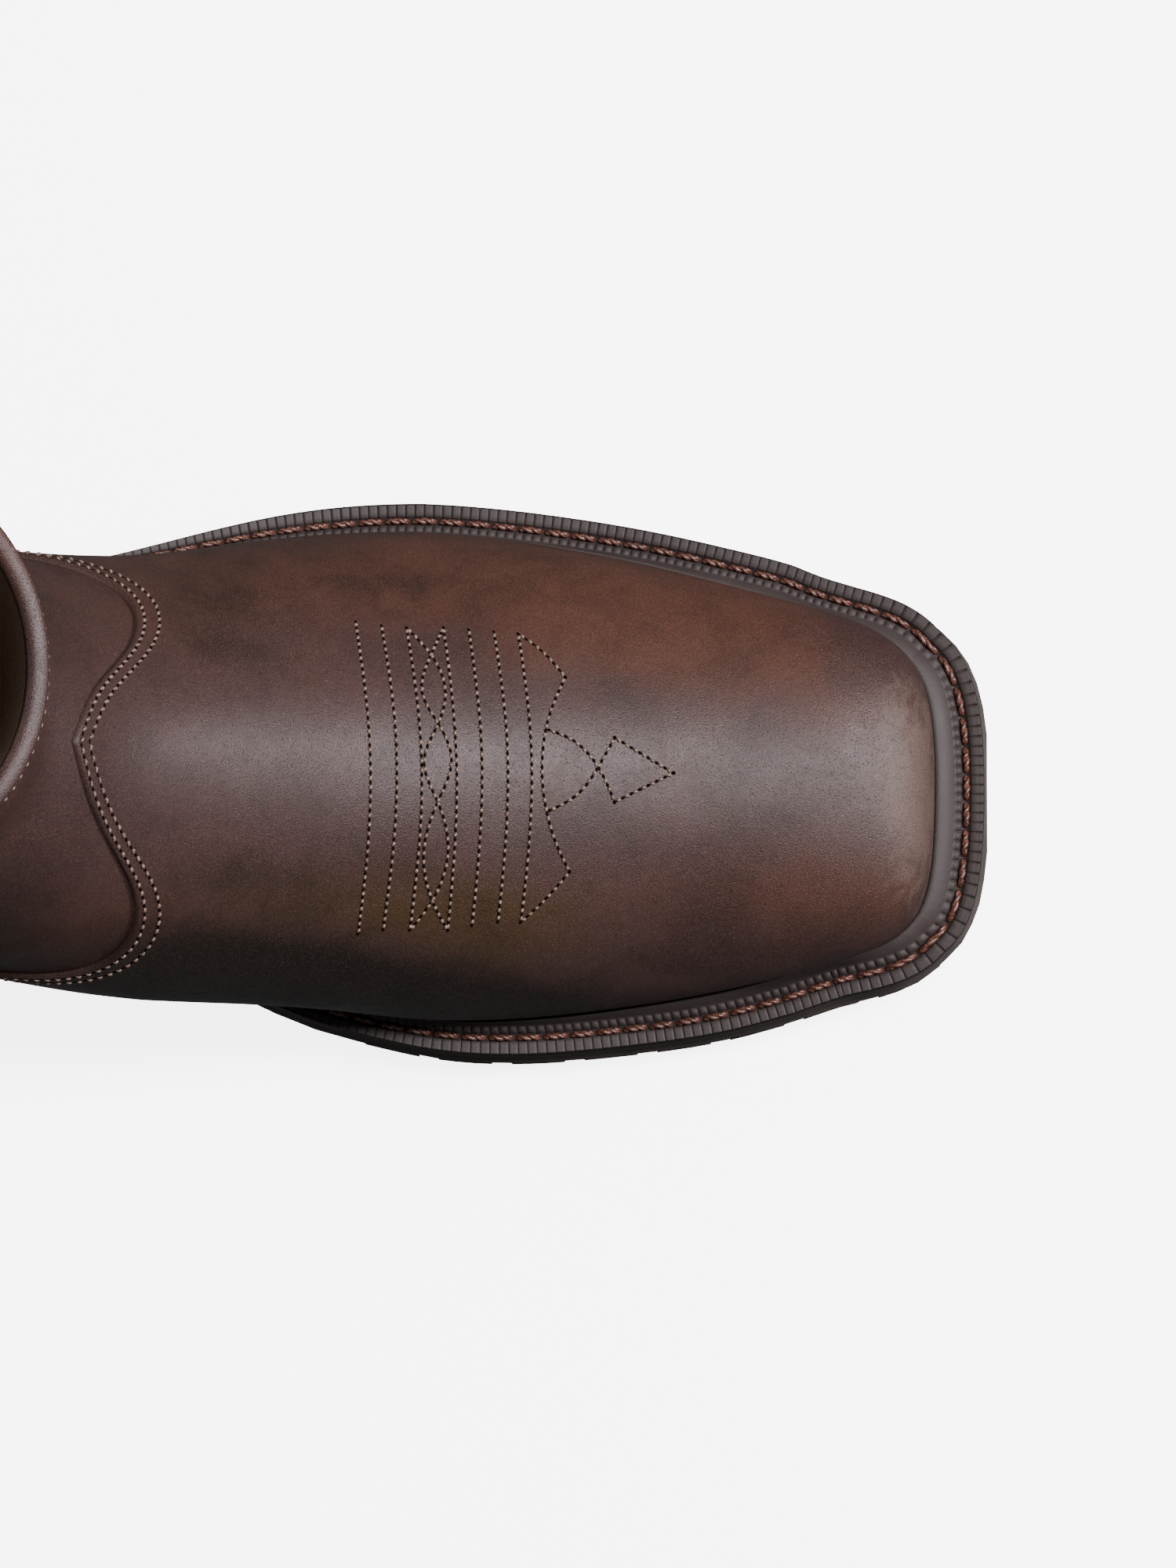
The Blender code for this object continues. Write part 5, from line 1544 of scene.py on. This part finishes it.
@dataclass(frozen=True)
class EdgeStitching:
    """Double rows along the vamp's line and the counter, and a row under the binding."""

    vamp_insets: tuple[float, float] = (0.10, 0.30)
    binding_inset: float = 0.20
    binding_lift: float = 0.0009
    counter_insets: tuple[float, float] = (0.0024, 0.0048)

    def build(self, stitching: Stitching) -> None:
        """Sews the rows on the surfaces they join."""
        v = np.linspace(-0.97, 0.97, 260)
        for inset in self.vamp_insets:
            u = warped_row(np.full(v.shape, VAMP_LINE_ROW - inset), v)
            stitching.add_row(*creased_skin(u, v, Crease.VAMP))
        u = warped_row(np.full(v.shape, COLLAR_ROW - self.binding_inset), v)
        stitching.add_row(*creased_skin(u, v, Crease.NONE, self.binding_lift - VAMP_STEP))
        u = np.linspace(COUNTER_EDGE[0, 0] + 0.05, COUNTER_EDGE[-1, 0] - 0.35, 200)
        for sign in (-1.0, 1.0):
            lane = sign * counter_edge(u)
            points, normals = LAST.surface(u, lane)
            inward = unit(np.cross(normals, np.gradient(points, axis=0)) * sign)
            lifted = creased_skin(u, lane, Crease.SHAFT, COUNTER_THICKNESS - VAMP_STEP)[0]
            for inset in self.counter_insets:
                stitching.add_row(lifted + inward * inset, normals)


@dataclass
class Studio:
    """The pale floor, the soft lights and the photograph's camera."""

    floor_half: float = 4.0
    floor_drop: float = 0.0005
    aim: tuple[float, float, float] = (0.16, 0.0, 0.05)
    tint: tuple[float, float, float] = (1.0, 0.955, 0.995)
    lights: tuple = (("key", (1.35, 0.26, 1.10), 0.44, 47.0),
                     ("top", (0.50, 0.24, 1.60), 0.24, 31.0),
                     ("back", (-1.30, 0.70, 0.75), 0.80, 9.0),
                     ("side", (0.50, 0.95, 1.25), 0.60, 3.0),
                     ("fill", (-0.7, -1.3, 0.9), 1.2, 1.2))

    def build(self) -> None:
        """Makes the stage."""
        self.build_camera()
        self.build_floor()
        self.build_lights()

    def build_camera(self) -> None:
        """A camera over the forefoot, leaning to the inner side, with its top to +Y."""
        data = bpy.data.cameras.new("camera")
        data.lens, data.sensor_width, data.sensor_fit = CAMERA_LENS, CAMERA_SENSOR, "AUTO"
        data.clip_start, data.clip_end = 0.05, 20.0
        camera = link("camera", data)
        lean = math.radians(CAMERA_LEAN)
        back = Vector((0.0, -math.sin(lean), math.cos(lean)))
        right = Vector((1.0, 0.0, 0.0))
        turn = Matrix((right, back.cross(right), back)).transposed().to_4x4()
        eye = Vector(CAMERA_TARGET) + back * CAMERA_DISTANCE
        camera.matrix_world = Matrix.Translation(eye) @ turn
        bpy.context.scene.camera = camera

    def build_floor(self) -> None:
        """A wide pale floor under the boot."""
        spread = self.floor_half * np.array([(-1, -1, 0), (1, -1, 0), (1, 1, 0), (-1, 1, 0)])
        floor = make_object("floor", spread - UP * self.floor_drop, np.array([[0, 1, 2, 3]]), False)
        s = Shader("pale_floor")
        uneven = s.noise(3.0, 2.0, 0.5)
        colour = s.mix(uneven, rgb(0.90, 0.90, 0.90), rgb(0.94, 0.94, 0.94))
        floor.data.materials.append(s.surface(colour, 0.9, None, Specular_IOR_Level=0.1,
                                              Emission_Color=(1.0, 1.0, 1.0, 1.0),
                                              Emission_Strength=5.0))
        floor.visible_diffuse = floor.visible_glossy = False

    def build_lights(self) -> None:
        """Square soft lights, each a name, place, size and power, and a pale surround."""
        for name, place, size, power in self.lights:
            data = bpy.data.lights.new(name, "AREA")
            data.shape, data.size, data.energy, data.color = "SQUARE", size, power, self.tint
            light = link(name, data)
            light.location = place
            light.rotation_mode = "QUATERNION"
            light.rotation_quaternion = (Vector(place) - Vector(self.aim)).to_track_quat("Z", "Y")
        world = bpy.data.worlds.new("surround")
        world.use_nodes = True
        sky = world.node_tree.nodes["Background"].inputs
        sky[0].default_value, sky[1].default_value = rgb(1.0, 1.0, 1.0), 0.13
        bpy.context.scene.world = world


def dress_frame_node(name: str, material: bpy.types.Material) -> None:
    """Gives a carried-over solid its finish."""
    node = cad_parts[name]
    node.data.materials.clear()
    node.data.materials.append(material)
    log.info("%s: finished", name)


def main() -> None:
    """Builds the studio, then the boot's pieces in the order a maker would."""
    Studio().build()
    leather = OiledLeather("oiled_leather").material()
    strap = OiledLeather("strap_leather", roughness=0.52).material()
    # Painted shadow for the needle holes.
    shadow = FlatTone("needle_hole_shadow", rgb(0.0050, 0.0030, 0.0022), 0.9).material()
    tan = WaxedThread("tan_thread").material()
    cord = WaxedThread("welt_cord", rgb(0.135, 0.054, 0.036), rgb(0.028, 0.010, 0.007),
                       0.36).material()
    welt_rubber = MouldedRubber("welt_rubber", rgb(0.0240, 0.0178, 0.0165),
                                rgb(0.040, 0.031, 0.029), 0.4, 0.62, 0.28).material()
    sole_rubber = MouldedRubber("sole_rubber").material()
    Upper().build(leather, WovenLining("lining_knit").material())
    HeelCounter().build(leather)
    SideSeam().build(leather)
    edges = Stitching("edge", StitchStyle(0.0024), tan, shadow)
    PullStraps().build(strap, edges)
    EdgeStitching().build(edges)
    edges.build()
    toe = Stitching("toe", StitchStyle(), tan, shadow)
    ToeStitching().build(toe)
    toe.build()
    Welt().build(welt_rubber, cord)
    RubberSole().build(sole_rubber)
    dress_frame_node("heel_lift", sole_rubber)
    dress_frame_node("heel_stack", StackedLeather("stacked_heel").material())
    dress_frame_node("insole", WovenLining("footbed", rgb(0.16, 0.12, 0.09)).material())


if __name__ == "__main__":
    logging.basicConfig(level=logging.INFO, format="%(name)s: %(message)s")
    main()
